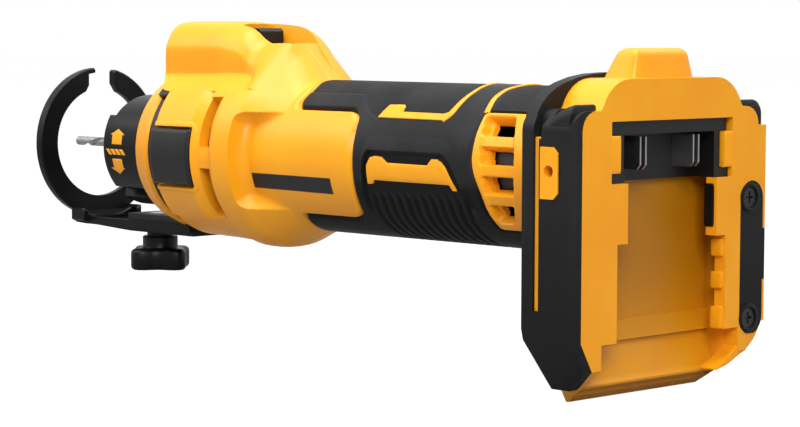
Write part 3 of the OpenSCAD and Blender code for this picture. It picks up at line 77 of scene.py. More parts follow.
class ToolSizes(bpy.types.PropertyGroup):
    """Sizes that set the dressed shapes."""

    barrel: length("Barrel radius", "Grip and side panel radius", 0.0241)
    bulge: length("Bulge radius", "Largest radius of the front body", 0.0306)
    casing: length("Casing radius", "Radius of the casing behind the nose", 0.0286)
    hump_half: length("Hump half width", "Half width of the switch hump", 0.014)
    groove: length("Groove depth", "Depth of the finger grooves under the grip", 0.00055)
    inlay: length("Inlay height", "How far the yellow inlays stand proud", 0.0003)
    dock_round: length("Dock rounding", "Edge rounding of the battery dock", 0.0007)
    rubber_round: length("Rubber rounding", "Edge rounding of the rubber bumpers", 0.0011)
    nose_round: length("Nose rounding", "Edge rounding of the collar, pads and guide", 0.0006)


class ToolColours(bpy.types.PropertyGroup):
    """Colours of the finishes."""

    shell: tint("Shell", "Yellow shell plastic", (0.88, 0.365, 0.008))
    shell_deep: tint("Shell shade", "Deeper tone in the yellow plastic", (0.84, 0.32, 0.006))
    rubber: tint("Rubber", "Black grip rubber", (0.0062, 0.0064, 0.0068))
    plastic: tint("Black plastic", "Black moulded plastic", (0.0036, 0.0037, 0.0040))
    steel: tint("Steel", "Bright steel", (0.62, 0.62, 0.63))
    copper: tint("Copper", "Motor windings", (0.72, 0.30, 0.13))
    brass: tint("Brass", "Threaded insert", (0.74, 0.52, 0.22))
    board: tint("Board", "Circuit board", (0.01, 0.085, 0.03))
    lead: tint("Lead", "Wire insulation", (0.42, 0.012, 0.01))
    lens: tint("Lens", "Light lens, clear", (0.86, 0.89, 0.92))
    lens_pale: tint("Lens frost", "Light lens, frosted", (0.97, 0.98, 1.0))
    floor: tint("Floor", "Studio floor", (0.3, 0.3, 0.3))


def ease(lo, hi, t):
    """Smooth step: 0 before lo, 1 after hi, 3u^2 - 2u^3 between."""
    u = np.clip((t - lo) / (hi - lo), 0, 1)
    return u * u * (3 - 2 * u)


def flow(t, knots):
    """Smooth curve through (place, value) knots: cubic Hermite with harmonic-mean slopes."""
    k = np.asarray(knots, float)
    step = np.diff(k[:, 0])
    chord = np.diff(k[:, 1]) / step
    total = chord[:-1] + chord[1:]
    same = chord[:-1] * chord[1:] > 0
    inner = np.where(same, 2 * chord[:-1] * chord[1:] / np.where(same, total, 1), 0)
    slope = np.concatenate([chord[:1], inner, chord[-1:]])
    i = np.clip(np.searchsorted(k[:, 0], t) - 1, 0, len(k) - 2)
    u = np.clip((t - k[i, 0]) / step[i], 0, 1)
    v = 1 - u
    ends = k[i, 1] * (1 + 2 * u) * v * v + k[i + 1, 1] * (1 + 2 * v) * u * u
    return ends + step[i] * (slope[i] * u * v * v - slope[i + 1] * v * u * u)


def box_gap(x, z, lo, hi, radius):
    """Signed distance to a box with rounded corners: negative inside."""
    qx = np.abs(x - (lo[0] + hi[0]) / 2) - (hi[0] - lo[0]) / 2 + radius
    qz = np.abs(z - (lo[1] + hi[1]) / 2) - (hi[1] - lo[1]) / 2 + radius
    return np.hypot(np.maximum(qx, 0), np.maximum(qz, 0)) + np.minimum(np.maximum(qx, qz), 0) - radius


def soft_max(a, b, k):
    """Larger of two arrays with the crease between them rounded over k."""
    h = np.clip(0.5 + 0.5 * (a - b) / k, 0, 1)
    return b + (a - b) * h + k * h * (1 - h)


def soft_min(a, b, k):
    """Smaller of two arrays with the crease rounded over k."""
    return -soft_max(-a, -b, k)


def stations(*spans):
    """Grid lines from (start, end, step) spans and single values, in order."""
    parts = [np.arange(*s) if isinstance(s, tuple) else np.array([s], float) for s in spans]
    return np.unique(np.round(np.concatenate(parts), 4))


def both(step, *edges):
    """Grid lines just before and just after each edge."""
    return [edge + move for edge in edges for move in (-step, step)]


def joined(x, y, z):
    """Points from three arrays or numbers that share a shape."""
    return np.stack(np.broadcast_arrays(x, y, z), -1).astype(float)


def polar(angle):
    """Cosine and sine of an angle in degrees."""
    return np.cos(np.radians(angle)), np.sin(np.radians(angle))


def around(x, angle, radius):
    """Points at a radius about the spindle line; angle in degrees."""
    c, s = polar(angle)
    return joined(x, radius * c, radius * s)


def shaded(mesh, crease):
    """Smooth shading with edges kept sharp past the crease angle in degrees."""
    mesh.polygons.foreach_set("use_smooth", np.ones(len(mesh.polygons), bool))
    mesh.set_sharp_from_angle(angle=math.radians(crease))
    return mesh


def sheet_mesh(name, points, keep=None, closed=False, marks=None, weld=0, crease=38):
    """Quads over a grid of points in millimetres; closed joins the last column to the first.

    keep masks the quads, marks are point attributes and weld merges points that meet at a pole.
    """
    rows, cols = points.shape[:2]
    index = np.arange(rows * cols).reshape(rows, cols)
    if closed:
        index = np.hstack([index, index[:, :1]])
    quads = np.stack([index[:-1, :-1], index[:-1, 1:], index[1:, 1:], index[1:, :-1]], -1).reshape(-1, 4)
    if keep is not None:
        quads = quads[keep.reshape(-1)]
    used, quads = np.unique(quads, return_inverse=True)
    quads = quads.reshape(-1, 4)
    mesh = bpy.data.meshes.new(name)
    mesh.vertices.add(len(used))
    mesh.vertices.foreach_set("co", (points.reshape(-1, 3)[used] * MM).ravel())
    mesh.loops.add(quads.size)
    mesh.loops.foreach_set("vertex_index", quads.ravel().astype(np.int32))
    mesh.polygons.add(len(quads))
    mesh.polygons.foreach_set("loop_start", np.arange(0, quads.size, 4, dtype=np.int32))
    mesh.update(calc_edges=True)
    for label, values in (marks or {}).items():
        layer = mesh.attributes.new(label, "FLOAT", "POINT")
        layer.data.foreach_set("value", values.reshape(-1)[used].astype(np.float32))
    if weld:
        work = bmesh.new()
        work.from_mesh(mesh)
        bmesh.ops.remove_doubles(work, verts=work.verts, dist=weld * MM)
        work.to_mesh(mesh)
        work.free()
    return shaded(mesh, crease)


def place(mesh, kind, *nodes, body="housing", slot=None):
    """Puts a mesh in the scene as one piece with its finish, its body and the nodes it stands for."""
    piece = bpy.data.objects.new(mesh.name, mesh)
    bpy.context.scene.collection.objects.link(piece)
    mesh.materials.clear()
    mesh.materials.append(finish(kind))
    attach(piece, body)
    if nodes:
        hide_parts(*nodes)
    return piece


def softened(name, node, width, kind, body="housing", steps=2, cut_x=None, carve=()):
    """A merged copy of a CAD node with its flat faces rejoined and its edges rounded by a bevel."""
    work = bmesh.new()
    work.from_mesh(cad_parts[node].data)
    bmesh.ops.remove_doubles(work, verts=work.verts, dist=CAD_WELD)
    for cut in carve:
        solid = bpy.data.meshes.new(name)
        work.to_mesh(solid)
        work.clear()
        work.from_mesh(carved(solid, *cut))
    if cut_x is not None:
        parts = work.verts[:] + work.edges[:] + work.faces[:]
        bmesh.ops.bisect_plane(
            work, geom=parts, plane_co=(cut_x, 0, 0), plane_no=(1, 0, 0), clear_outer=True
        )
    bmesh.ops.dissolve_limit(
        work, angle_limit=math.radians(FLAT_ANGLE), verts=work.verts, edges=work.edges, delimit=set()
    )
    mesh = bpy.data.meshes.new(name)
    work.to_mesh(mesh)
    work.free()
    piece = place(shaded(mesh, BEVEL_ANGLE), kind, node, body=body)
    bevel = piece.modifiers.new("Edge rounding", "BEVEL")
    bevel.width, bevel.segments = width, steps
    bevel.limit_method, bevel.angle_limit = "ANGLE", math.radians(BEVEL_ANGLE)
    piece.modifiers.new("Even shading", "WEIGHTED_NORMAL").keep_sharp = True


def squircle(half_a, half_b, count=48, power=0.24):
    """Closed outline of a rounded rectangle: the superellipse (a |cos|^p, b |sin|^p)."""
    t = np.linspace(0, 2 * np.pi, count, endpoint=False)
    c, s = np.cos(t), np.sin(t)
    return half_a * np.sign(c) * np.abs(c) ** power, half_b * np.sign(s) * np.abs(s) ** power


def closed_loft(name, loops, crease=32):
    """Skin over closed loops, drawn together to a point at both ends."""
    first, last = (np.broadcast_to(np.mean(loop, 0), np.shape(loop)) for loop in (loops[0], loops[-1]))
    return sheet_mesh(name, np.array([first, *loops, last]), closed=True, weld=POLE, crease=crease)


def side_block(name, lo, hi, soft=0.25):
    """Small block that stands on a wall facing the left side, corners and outer edge rounded."""
    level = np.array([lo[1], hi[1] - soft, hi[1] - soft * 0.3, hi[1]])
    inset = np.array([0, 0, 0.3, 1]) * soft
    (x, _, z), (wide, _, tall) = (np.array(lo) + hi) / 2, (np.array(hi) - lo) / 2
    dx, dz = squircle((wide - inset)[:, None], (tall - inset)[:, None])
    return closed_loft(name, joined(x + dx, level[:, None], z - dz))


def lathe(name, profile, y, z, count=48):
    """Ring turned about a line along x at (y, z) from (x, radius) points."""
    t = np.linspace(0, 2 * np.pi, count, endpoint=False)[None, :]
    x, r = np.asarray(profile, float).T[:, :, None]
    return sheet_mesh(name, joined(x, y + r * np.cos(t), z + r * np.sin(t)), closed=True, crease=32)


def carved(mesh, outline, low, high):
    """Cuts a prism with an (x, z) outline, from y low to y high, out of a mesh on both sides."""
    holder = bpy.data.objects.new("carving", mesh)
    bpy.context.scene.collection.objects.link(holder)
    cutters = []
    for side in (1, -1):
        xz = np.asarray(outline, float)
        near = joined(xz[:, 0], side * low, xz[:, 1]) * MM
        away = near + np.array([0, side * (high - low) * MM, 0])
        work = bmesh.new()
        rims = [[work.verts.new(v) for v in ring] for ring in (near, away)]
        work.faces.new(rims[0])
        work.faces.new(rims[1][::-1])
        for i in range(len(xz)):
            work.faces.new((rims[0][i - 1], rims[1][i - 1], rims[1][i], rims[0][i]))
        bmesh.ops.recalc_face_normals(work, faces=work.faces)
        shape = bpy.data.meshes.new("cutter")
        work.to_mesh(shape)
        work.free()
        cutter = bpy.data.objects.new("cutter", shape)
        bpy.context.scene.collection.objects.link(cutter)
        cut = holder.modifiers.new("Cut", "BOOLEAN")
        cut.operation, cut.solver, cut.object = "DIFFERENCE", "EXACT", cutter
        cutters.append(cutter)
    graph = bpy.context.evaluated_depsgraph_get()
    result = bpy.data.meshes.new_from_object(holder.evaluated_get(graph))
    result.name = mesh.name
    for item in (holder, *cutters):
        bpy.data.objects.remove(item)
    return result


class Wire:
    """A shader value with arithmetic; each operator adds one Math node."""

    def __init__(self, nodes, socket):
        self.nodes, self.socket = nodes, socket

    def math(self, operation, *values):
        return self.nodes.node("ShaderNodeMath", list(values), operation=operation)

    def __add__(self, other):
        return self.math("ADD", self, other)

    def __sub__(self, other):
        return self.math("SUBTRACT", self, other)

    def __rsub__(self, other):
        return self.math("SUBTRACT", other, self)

    def __mul__(self, other):
        return self.math("MULTIPLY", self, other)

    __radd__ = __add__
    __rmul__ = __mul__

    def between(self, lo, hi):
        """Smooth step of this value from lo to hi."""
        inputs = {"Value": self, "From Min": lo, "From Max": hi}
        return self.nodes.node("ShaderNodeMapRange", inputs, interpolation_type="SMOOTHSTEP")


class Nodes:
    """A node tree that is filled one node at a time."""

    def __init__(self, tree):
        self.tree = tree

    def node(self, kind, inputs=(), output=0, **settings):
        """Adds one node, sets its settings, links or sets its inputs, and returns one output."""
        made = self.tree.nodes.new(kind)
        for label, value in settings.items():
            setattr(made, label, value)
        pairs = inputs.items() if isinstance(inputs, dict) else enumerate(inputs)
        for key, value in pairs:
            if isinstance(value, Wire):
                self.tree.links.new(value.socket, made.inputs[key])
            else:
                made.inputs[key].default_value = value
        return Wire(self, made.outputs[output])


class Finish(Nodes):
    """One material: a Principled shader and the nodes that vary it."""

    def __init__(self, name, **fixed):
        self.material = bpy.data.materials.new(name)
        self.material.use_nodes = True
        super().__init__(self.material.node_tree)
        self.shader = self.tree.nodes["Principled BSDF"]
        for label, value in fixed.items():
            self.shader.inputs[label.replace("_", " ")].default_value = value
        self.spot = self.node("ShaderNodeTexCoord", output="Object")

    def noise(self, scale, detail=2.0):
        """Noise about 0.5 with a number of cells for each metre."""
        return self.node("ShaderNodeTexNoise", {"Vector": self.spot, "Scale": scale, "Detail": detail})

    def cells(self, scale):
        """Distance to the nearest of evenly strewn points."""
        return self.node("ShaderNodeTexVoronoi", {"Vector": self.spot, "Scale": scale})

    def axis(self, index):
        """One Object coordinate, in metres."""
        return self.node("ShaderNodeSeparateXYZ", [self.spot], output=index)

    def mark(self, label):
        """A point attribute of the mesh."""
        return self.node("ShaderNodeAttribute", output="Fac", attribute_name=label)

    def mix(self, share, low, high):
        """Blend of two colours."""
        low, high = (v if isinstance(v, Wire) else (*v[:3], 1) for v in (low, high))
        return self.node("ShaderNodeMix", {"Factor": share, 6: low, 7: high}, 2, data_type="RGBA")

    def drift(self, scale, lo, hi, low, high):
        """Slow wander between two colours over a noise from lo to hi."""
        return self.mix(self.noise(scale, 3).between(lo, hi), low, high)

    def wire(self, **values):
        """Links values to the shader's inputs."""
        for label, value in values.items():
            self.tree.links.new(value.socket, self.shader.inputs[label.replace("_", " ")])

    def bump(self, height, depth, strength):
        """Bump of a 0 to 1 height, depth in millimetres; gives the finished material."""
        inputs = {"Height": height, "Distance": depth * MM, "Strength": strength}
        self.wire(Normal=self.node("ShaderNodeBump", inputs))
        return self.material


def scaled(colour, share):
    """A colour made darker or paler."""
    return tuple(share * v for v in colour)


# Painted shade in the dock's cavity, bounds in metres: x over its wall, its floor, half width, top, and the
# fade towards its foot
CAVITY_WALL, CAVITY_FLOOR, CAVITY_HALF = (0.004, 0.011), (0.0113, 0.0118), (0.029, 0.0292)
CAVITY_TOP, CAVITY_FADE = (0.0155, 0.0157), (-0.06, -0.02)


def yellow_finish(colours):
    """Satin moulded plastic: slow drift between two ambers, fine grain, and painted shade, a deeper amber,
    in the dock's cavity.
    """
    f = Finish("yellow shell plastic", IOR=1.46, Specular_IOR_Level=0.35)
    tone = f.drift(38, 0.3, 0.7, colours.shell_deep, colours.shell)
    x, y, z = (f.axis(i) for i in range(3))
    # Painted shade: the base colour darkens inside the battery cavity, less towards its foot
    inside = x.between(*CAVITY_WALL) * (1 - x.between(*CAVITY_FLOOR))
    inside = inside * (1 - y.math("ABSOLUTE", y).between(*CAVITY_HALF)) * (1 - z.between(*CAVITY_TOP))
    inside = inside * (0.45 + 0.55 * z.between(*CAVITY_FADE))
    f.wire(Base_Color=f.mix(inside * 0.85, tone, scaled(colours.shell_deep, 0.4)))
    f.wire(Roughness=0.3 + 0.14 * f.noise(420))
    return f.bump(f.noise(3600), 0.03, 0.5)


def rubber_finish(colours):
    """Soft rubber with a fine even grain and a slightly dusty drift, and painted shade that darkens it
    towards the foot.
    """
    f = Finish("black grip rubber", IOR=1.5, Specular_IOR_Level=0.16)
    tone = f.drift(60, 0.25, 0.8, colours.rubber, scaled(colours.rubber, 1.9))
    # Painted shade: the base colour darkens towards the foot, away from the top light
    foot = 1 - f.axis(2).between(-0.045, 0.005)
    f.wire(Base_Color=f.mix(foot, tone, scaled(colours.rubber, 0.3)))
    f.wire(Roughness=0.44 + 0.16 * f.noise(500))
    return f.bump(f.noise(2600), 0.05, 0.6)


def grip_finish(colours):
    """Grip rubber: satin, stippled where the grain mark is 1, glossy in the recess, darker in shade."""
    f = Finish("moulded grip rubber", IOR=1.5, Specular_IOR_Level=0.12)
    grain, gloss, shade = f.mark("grain"), f.mark("gloss"), f.mark("shade")
    tone = f.drift(60, 0.25, 0.8, colours.rubber, scaled(colours.rubber, 2.6))
    f.wire(Base_Color=f.mix(shade, tone, scaled(colours.rubber, 0.4)))
    f.wire(Roughness=0.42 + 0.1 * f.noise(500) + 0.18 * grain - 0.1 * gloss)
    return f.bump(f.cells(1500) * grain + f.noise(2600) * 0.35, 0.14, 0.6)


def plastic_finish(colours):
    """Black satin plastic with a light grain."""
    f = Finish("black satin plastic", IOR=1.5, Specular_IOR_Level=0.32)
    f.wire(Base_Color=f.drift(70, 0.3, 0.75, colours.plastic, scaled(colours.plastic, 1.8)))
    f.wire(Roughness=0.34 + 0.14 * f.noise(600))
    return f.bump(f.noise(3200), 0.03, 0.5)


def collar_finish(colours):
    """Smooth black plastic with a fainter grain."""
    f = Finish("smooth black plastic", IOR=1.5, Specular_IOR_Level=0.14)
    f.wire(Base_Color=f.drift(90, 0.3, 0.75, colours.plastic, scaled(colours.plastic, 1.7)))
    f.wire(Roughness=0.26 + 0.12 * f.noise(500, 3))
    return f.bump(f.noise(2400), 0.02, 0.4)


def metal_finish(name, colour, rough, lines):
    """Bare metal: a soft stain, and fine lines in the roughness and the bump."""
    f = Finish(name, Metallic=1.0)
    f.wire(Base_Color=f.drift(120, 0.25, 0.8, scaled(colour, 0.72), colour))
    f.wire(Roughness=rough + 0.16 * f.noise(lines, 3))
    return f.bump(f.noise(lines * 3), 0.02, 0.4)


def coil_finish(colours):
    """Enamelled copper wire wound in fine turns."""
    f = Finish("copper windings", Metallic=0.85)
    turns = f.noise(1300, 1).between(0.35, 0.65)
    f.wire(Base_Color=f.mix(turns, scaled(colours.copper, 0.45), colours.copper))
    f.wire(Roughness=0.28 + 0.2 * turns)
    return f.bump(turns, 0.2, 0.7)


def board_finish(colours):
    """Circuit board: green mask with lighter copper runs under it."""
    f = Finish("circuit board", IOR=1.5)
    runs = f.cells(420).between(0.28, 0.34)
    f.wire(Base_Color=f.mix(runs, scaled(colours.board, 2.2), colours.board))
    f.wire(Roughness=0.3 + 0.2 * f.noise(300))
    return f.bump(runs, 0.03, 0.5)


def lead_finish(colours):
    """Wire insulation with a slow tone drift and a light grain."""
    f = Finish("wire insulation", IOR=1.5)
    f.wire(Base_Color=f.drift(80, 0.3, 0.75, scaled(colours.lead, 0.7), colours.lead))
    f.wire(Roughness=0.35 + 0.14 * f.noise(500))
    return f.bump(f.noise(2600), 0.03, 0.5)


def lens_finish(colours):
    """Clear light lens, frosted a little in patches."""
    f = Finish("light lens", IOR=1.49, Transmission_Weight=0.8)
    f.wire(Base_Color=f.mix(f.noise(900), colours.lens, colours.lens_pale))
    f.wire(Roughness=0.06 + 0.12 * f.noise(700))
    return f.bump(f.cells(1400), 0.05, 0.4)


def floor_finish(colours):
    """Pale studio floor: matt, lifted to white for the camera so that only the soft shadow shows."""
    f = Finish("studio floor", Roughness=0.9, Specular_IOR_Level=0.1)
    f.wire(Base_Color=f.mix(f.noise(3), colours.floor, scaled(colours.floor, 1.1)))
    seen = f.node("ShaderNodeLightPath", output="Is Camera Ray")
    glow = f.node("ShaderNodeEmission", {"Strength": 1.3})
    lit = f.node("ShaderNodeMixShader", [seen * 0.75, Wire(f, f.shader.outputs[0]), glow])
    f.tree.links.new(lit.socket, f.tree.nodes["Material Output"].inputs["Surface"])
    return f.material


# Metals: material name, colour and share of it, roughness and scale of the lines
METALS = {
    "steel": ("bright steel", "steel", 1.0, 0.2, 900),
    "dark steel": ("dark steel", "steel", 0.3, 0.3, 900),
    "lamination": ("motor laminations", "steel", 0.45, 0.4, 2400),
    "bit": ("ground bit steel", "steel", 0.55, 0.34, 160),
    "blade": ("contact plating", "steel", 0.75, 0.22, 40),
    "tray": ("blackened tray", "steel", 0.1, 0.4, 900),
    "magnet": ("coated magnet", "steel", 0.7, 0.35, 900),
    "brass": ("threaded brass", "brass", 1.0, 0.25, 900),
}
MAKERS = {
    "yellow": yellow_finish, "rubber": rubber_finish, "grip": grip_finish, "plastic": plastic_finish,
    "collar": collar_finish, "copper": coil_finish, "board": board_finish, "lead": lead_finish,
    "lens": lens_finish,
}
made_finishes = {}


def finish(kind):
    """A finish by its short name, made once."""
    if kind not in made_finishes:
        colours = bpy.context.scene.cutout_colours
        if kind in METALS:
            name, colour, share, rough, lines = METALS[kind]
            made_finishes[kind] = metal_finish(name, scaled(getattr(colours, colour), share), rough, lines)
        else:
            made_finishes[kind] = MAKERS[kind](colours)
    return made_finishes[kind]


# Radius at which the barrel is unrolled, and millimetres for each degree there
UNROLL = 24.1
DEGREE = math.radians(UNROLL)
# Front edge of the grip, and the side panel as a box on the unrolled barrel
GRIP_EDGE, PANEL_REAR, PANEL_REACH, PANEL_ROUND = 135.6, 105.2, 60, 4.6
PANEL_LOW, PANEL_TOP = -20.4, 17.25


def yellow_gap(x, angle):
    """Distance outside the yellow front body on the unrolled barrel, and the angle on either side.

    The body is everything in front of the grip's edge, joined with the side panel, a rounded box
    that reaches back to x 105 between 41 and -48.5 degrees on both sides.
    """
    c, s = polar(angle)
    side = np.degrees(np.arctan2(s, np.abs(c)))
    arc = np.radians(side) * UNROLL
    edge = GRIP_EDGE + 3.2 * ease(58, 84, side) + 1.6 * ease(50, 80, -side)
    waist = PANEL_REAR + 0.004 * (arc + 1.6) ** 2
    panel = box_gap(x - waist, arc, (0, PANEL_LOW), (PANEL_REACH, PANEL_TOP), PANEL_ROUND)
    return soft_min(edge - x, panel, 3.0), side


# Height of the hump along x, and of the scoop for the thumb in its near side
HUMP_LINE = [
    (135, 19), (139.5, 23.4), (144.8, 28.7), (150.2, 33.9), (152.6, 36.6), (155, 38.8), (158.5, 40.5),
    (163, 41.4), (172, 42.0), (185, 42.4), (198.5, 42.4), (203, 42.3), (207, 42.0), (210, 41.4),
    (211.4, 40.6), (212, 39.6),
]
SCOOP_LINE = [
    (130, 35.4), (160.8, 35.4), (163.5, 36.5), (166.5, 38.8), (169.5, 40.5), (174.3, 41.6), (180, 42.6),
]
DOME_POWER, DOME_SPREAD = 3.5, 1.18


def hump_height(x, far):
    """Height of the switch hump along x; the near side is scooped out for the thumb."""
    full = flow(x, HUMP_LINE)
    return np.where(far, full, np.minimum(full, flow(x, SCOOP_LINE)))


def hump_radius(c, s, height, half, base, upright, round_over=0.5):
    """Hump section in polar form: upright sides under a domed shoulder, eased into leaning flanks.

    A flank is the plane that touches the body's circle of radius base at 45 degrees.
    """
    c, s = np.abs(c), np.maximum(s, 1e-3)
    dome = (c / (half * DOME_SPREAD)) ** DOME_POWER + (s / height) ** DOME_POWER
    steep = soft_min(half / np.maximum(c, 1e-3), dome ** (-1 / DOME_POWER), 0.9)
    lean = soft_min(base * math.sqrt(2) / (c + s), height / s, round_over)
    return lean + (steep - lean) * upright


def shelf_radius(c, s):
    """Flat shelves beside the hump, leaning outwards."""
    return 36.3 / np.maximum(s + 0.77 * np.abs(c), 0.3)


def parting(c, r):
    """Depth of the parting line where the halves of the shell meet."""
    return 0.3 * np.exp(-((np.abs(c) * r / 0.28) ** 2))


# Side pocket: front, top and foot
POCKET_FRONT, POCKET_TOP, POCKET_LOW = 154.8, 13.9, -16.5
# Slide channel: half angle, rear, edge of the roof, floor and underside of the roof
LANE, LANE_REAR, ROOF_REAR, ROOF_EDGE, LANE_FLOOR, ROOF_LOW = 9, 152, 174.52, 174.55, 32.4, 40.6
# Exhaust slots and the bridge between them: ends along x, angles, radii of bridge and slot floor
SLOT_REAR, SLOT_FRONT, SLOT_LOW, SLOT_TOP = 164.6, 171.2, -44, 38.5
BRIDGE, BRIDGE_HALF, BRIDGE_R, SLOT_R = -2, 7.1, 28.3, 24.4
# Windows of the release pads: rear, foot, top, radius of the floor, angle they lie within
WINDOW_REAR, WINDOW_LOW, WINDOW_TOP, WINDOW_R, WINDOW_SIDE = 174.1, -10.8, 8.4, 25.2, 50
# Screw pocket on the far side: place, and distance of its floor from the middle
WELL_X, WELL_Z, WELL_Y = 188.6, 30.9, 8.0


def body_radius(x, angle, sizes):
    """Radius of the yellow front body about the spindle line.

    A barrel that swells into the bulge and eases into the casing, a side pocket cut back to the
    barrel, the switch hump on top, shelves beside the hump, raised casing plates with exhaust slots
    behind them and windows for the release pads.
    """
    c, s = polar(angle)
    barrel, bulge, casing = sizes.barrel / MM, sizes.bulge / MM, sizes.casing / MM
    gap, side = yellow_gap(x, angle)
    base = flow(x, [
        (100, barrel), (138.2, barrel), (141, barrel + 0.7), (150, bulge - 2.2), (154, bulge - 0.6),
        (159, bulge), (162.4, bulge), (164.6, bulge - 0.9), (170, casing + 0.7), (178, casing + 0.3),
        (192.8, casing), (194, casing - 0.02),
    ])
    base = base - 0.9 * ease(192.8, 194, x) * (side < 45)
    # Side pocket: quarter-round fillets inside a crisp brim
    z = base * s
    rims = [(POCKET_FRONT - x) / 3.8, (POCKET_TOP - z) / 2.6, (z - POCKET_LOW) / 2.6]
    near = np.sqrt(sum(np.clip(1 - rim, 0, 9) ** 2 for rim in rims))
    wall = 1 - np.sqrt(np.clip(1 - np.minimum(near, 1) ** 2, 0, 1))
    r = barrel + (base - barrel) * wall
    # Raised casing plate with a bevelled rear edge
    plate = ease(0, 0.5, 45.0 - np.abs(side + 1.4)) * ease(171.1, 171.3, x)
    r = r + plate * (0.9 - 2.4 * np.clip((175.2 - x) / 4.0, 0, 1))
    # Flat shelf beside the hump
    r = r + ease(150, 160, x) * (soft_min(r, shelf_radius(c, s), 0.15) - r) * ease(0.66, 0.72, s)
    # Switch hump, scooped on the near side
    far = angle > 90 + LANE
    upright = np.where(far, ease(138, 145, x), ease(154, 167, x))
    over = 0.5 + 6.0 * ease(153.5, 148, x)
    hump = hump_radius(c, s, hump_height(x, far), sizes.hump_half / MM, base, upright, over)
    r = np.where((s > 0.7072) & (x > 138), soft_max(r, hump, 0.02 + 0.5 * upright), r)
    # Slide channel, open above as far as the roof
    lane = np.abs(angle - 90) < LANE
    for rear, front, level in ((LANE_REAR, ROOF_REAR, LANE_FLOOR), (ROOF_REAR, ROOF_EDGE, ROOF_LOW)):
        r = np.where(lane & (x > rear) & (x < front), np.minimum(r, level / np.maximum(s, 0.05)), r)
    # Exhaust slots either side of a bridge
    slot = (x > SLOT_REAR) & (x < SLOT_FRONT) & (side < SLOT_TOP) & (side > SLOT_LOW)
    bridge = np.abs(side - BRIDGE) < BRIDGE_HALF
    r = np.where(slot, np.where(bridge, BRIDGE_R, SLOT_R), r)
    # Windows for the release pads, with a thin lip
    window = box_gap(x, 29.2 * s, (WINDOW_REAR, WINDOW_LOW), (230, WINDOW_TOP), 1.0)
    beside = np.abs(side) < WINDOW_SIDE
    r = r + 0.35 * ease(1.5, 1.1, window) * beside
    r = np.where((window < 0) & beside, WINDOW_R, r)
    # Screw pocket on the far side
    well = ease(3.4, 3.0, np.hypot(x - WELL_X, r * s - WELL_Z)) * (c < 0)
    r = r + well * (np.minimum(r, WELL_Y / np.maximum(-c, 0.05)) - r)
    # Parting line and rounded edge towards the grip
    r = r - parting(c, r)
    return r - 1.8 * np.clip(1 + gap / 1.5, 0, 1) ** 2, gap, slot & ~bridge


def front_body(sizes):
    """Mesh of the front body from its radius over x and angle, with the slots left open."""
    x = stations(
        (104, 131, 0.9), (131, 178, 0.4), (178, 193.9, 0.7), *both(0.02, SLOT_REAR, SLOT_FRONT, WINDOW_REAR),
        174.5, 174.53, 174.56, 192.98, 193.02, 193.9, 194,
    )
    rib = both(0.03, BRIDGE + BRIDGE_HALF, SLOT_TOP, 90 - LANE)
    quarter = stations((0, 40, 0.8), (40, 90, 0.36), *rib)
    under = stations((0, 60, 0.8), (60, 90, 1.2), *both(0.03, BRIDGE_HALF - BRIDGE, -SLOT_LOW))
    angle = np.unique(np.concatenate([quarter, [90], 180 - quarter, 180 + under, [270], 360 - under[1:]]))
    X, A = np.meshgrid(x, angle, indexing="ij")
    r, gap, cut = body_radius(X, A, sizes)
    gone = [cut & np.roll(cut, -1, 1), (gap > 0.7) & (np.roll(gap, -1, 1) > 0.7)]
    keep = ~np.any([rows[:-1] & rows[1:] for rows in gone], 0)
    # The last row turns in to a lip behind the nose band
    keep = np.pad(keep, ((0, 1), (0, 0)), constant_values=True)
    r = np.pad(r, ((0, 1), (0, 0)), constant_values=24.8)
    X, A = (np.pad(grid, ((0, 1), (0, 0)), "edge") for grid in (X, A))
    return sheet_mesh("front_body", around(X, A, r), keep, closed=True, crease=40)


# Half width of the hump's nose along x, and the radius of its underside
NOSE_LINE = [
    (193, 20.4), (198.4, 19.8), (201.3, 17.2), (204, 14.9), (206, 13.1), (208, 11.3), (210, 9.6),
    (211.3, 8.2), (212, 6.4),
]
EAVE = 27.8


def hump_nose(sizes):
    """Front of the hump, an eave over the ring: the hump and shelf section over an arc about the spindle.

    In plan it narrows along a curve to the front.
    """
    x = stations((193.95, 197, 1.0), (197, 211.7, 0.3), 211.7, 211.8)[:, None]
    wide = flow(x, NOSE_LINE)
    low = np.degrees(np.arccos(wide / EAVE))
    angle = low + (180 - 2 * low) * np.linspace(0, 1, 140)[None, :]
    c, s = polar(angle)
    half = np.minimum(sizes.hump_half / MM, wide)
    hump = hump_radius(c, s, hump_height(x, True), half, EAVE, 1.0)
    shelf = np.minimum(shelf_radius(c, s), sizes.casing / MM - 0.1)
    r = np.maximum(soft_max(shelf, hump, 0.5), EAVE)
    r = r - parting(c, r)
    outer, inner = around(x, angle, r), around(x, angle, np.full_like(r, EAVE))
    middle = (outer[-1:] + inner[-1:]) / 2
    loop = np.concatenate([outer, inner[:, ::-1]], 1)
    cap = np.concatenate([middle, middle[:, ::-1]], 1)
    return sheet_mesh("hump_nose", np.concatenate([loop, cap]), closed=True, weld=POLE, crease=36)


# Collar: ends along x, radii of the bore and the panels, and each panel's middle and half angle
COLLAR_REAR, COLLAR_FRONT, COLLAR_BORE, COLLAR_R = 208.3, 231.3, 15.2, 20.4
COLLAR_PANELS = ((-5, 38), (-100, 44), (175, 38))


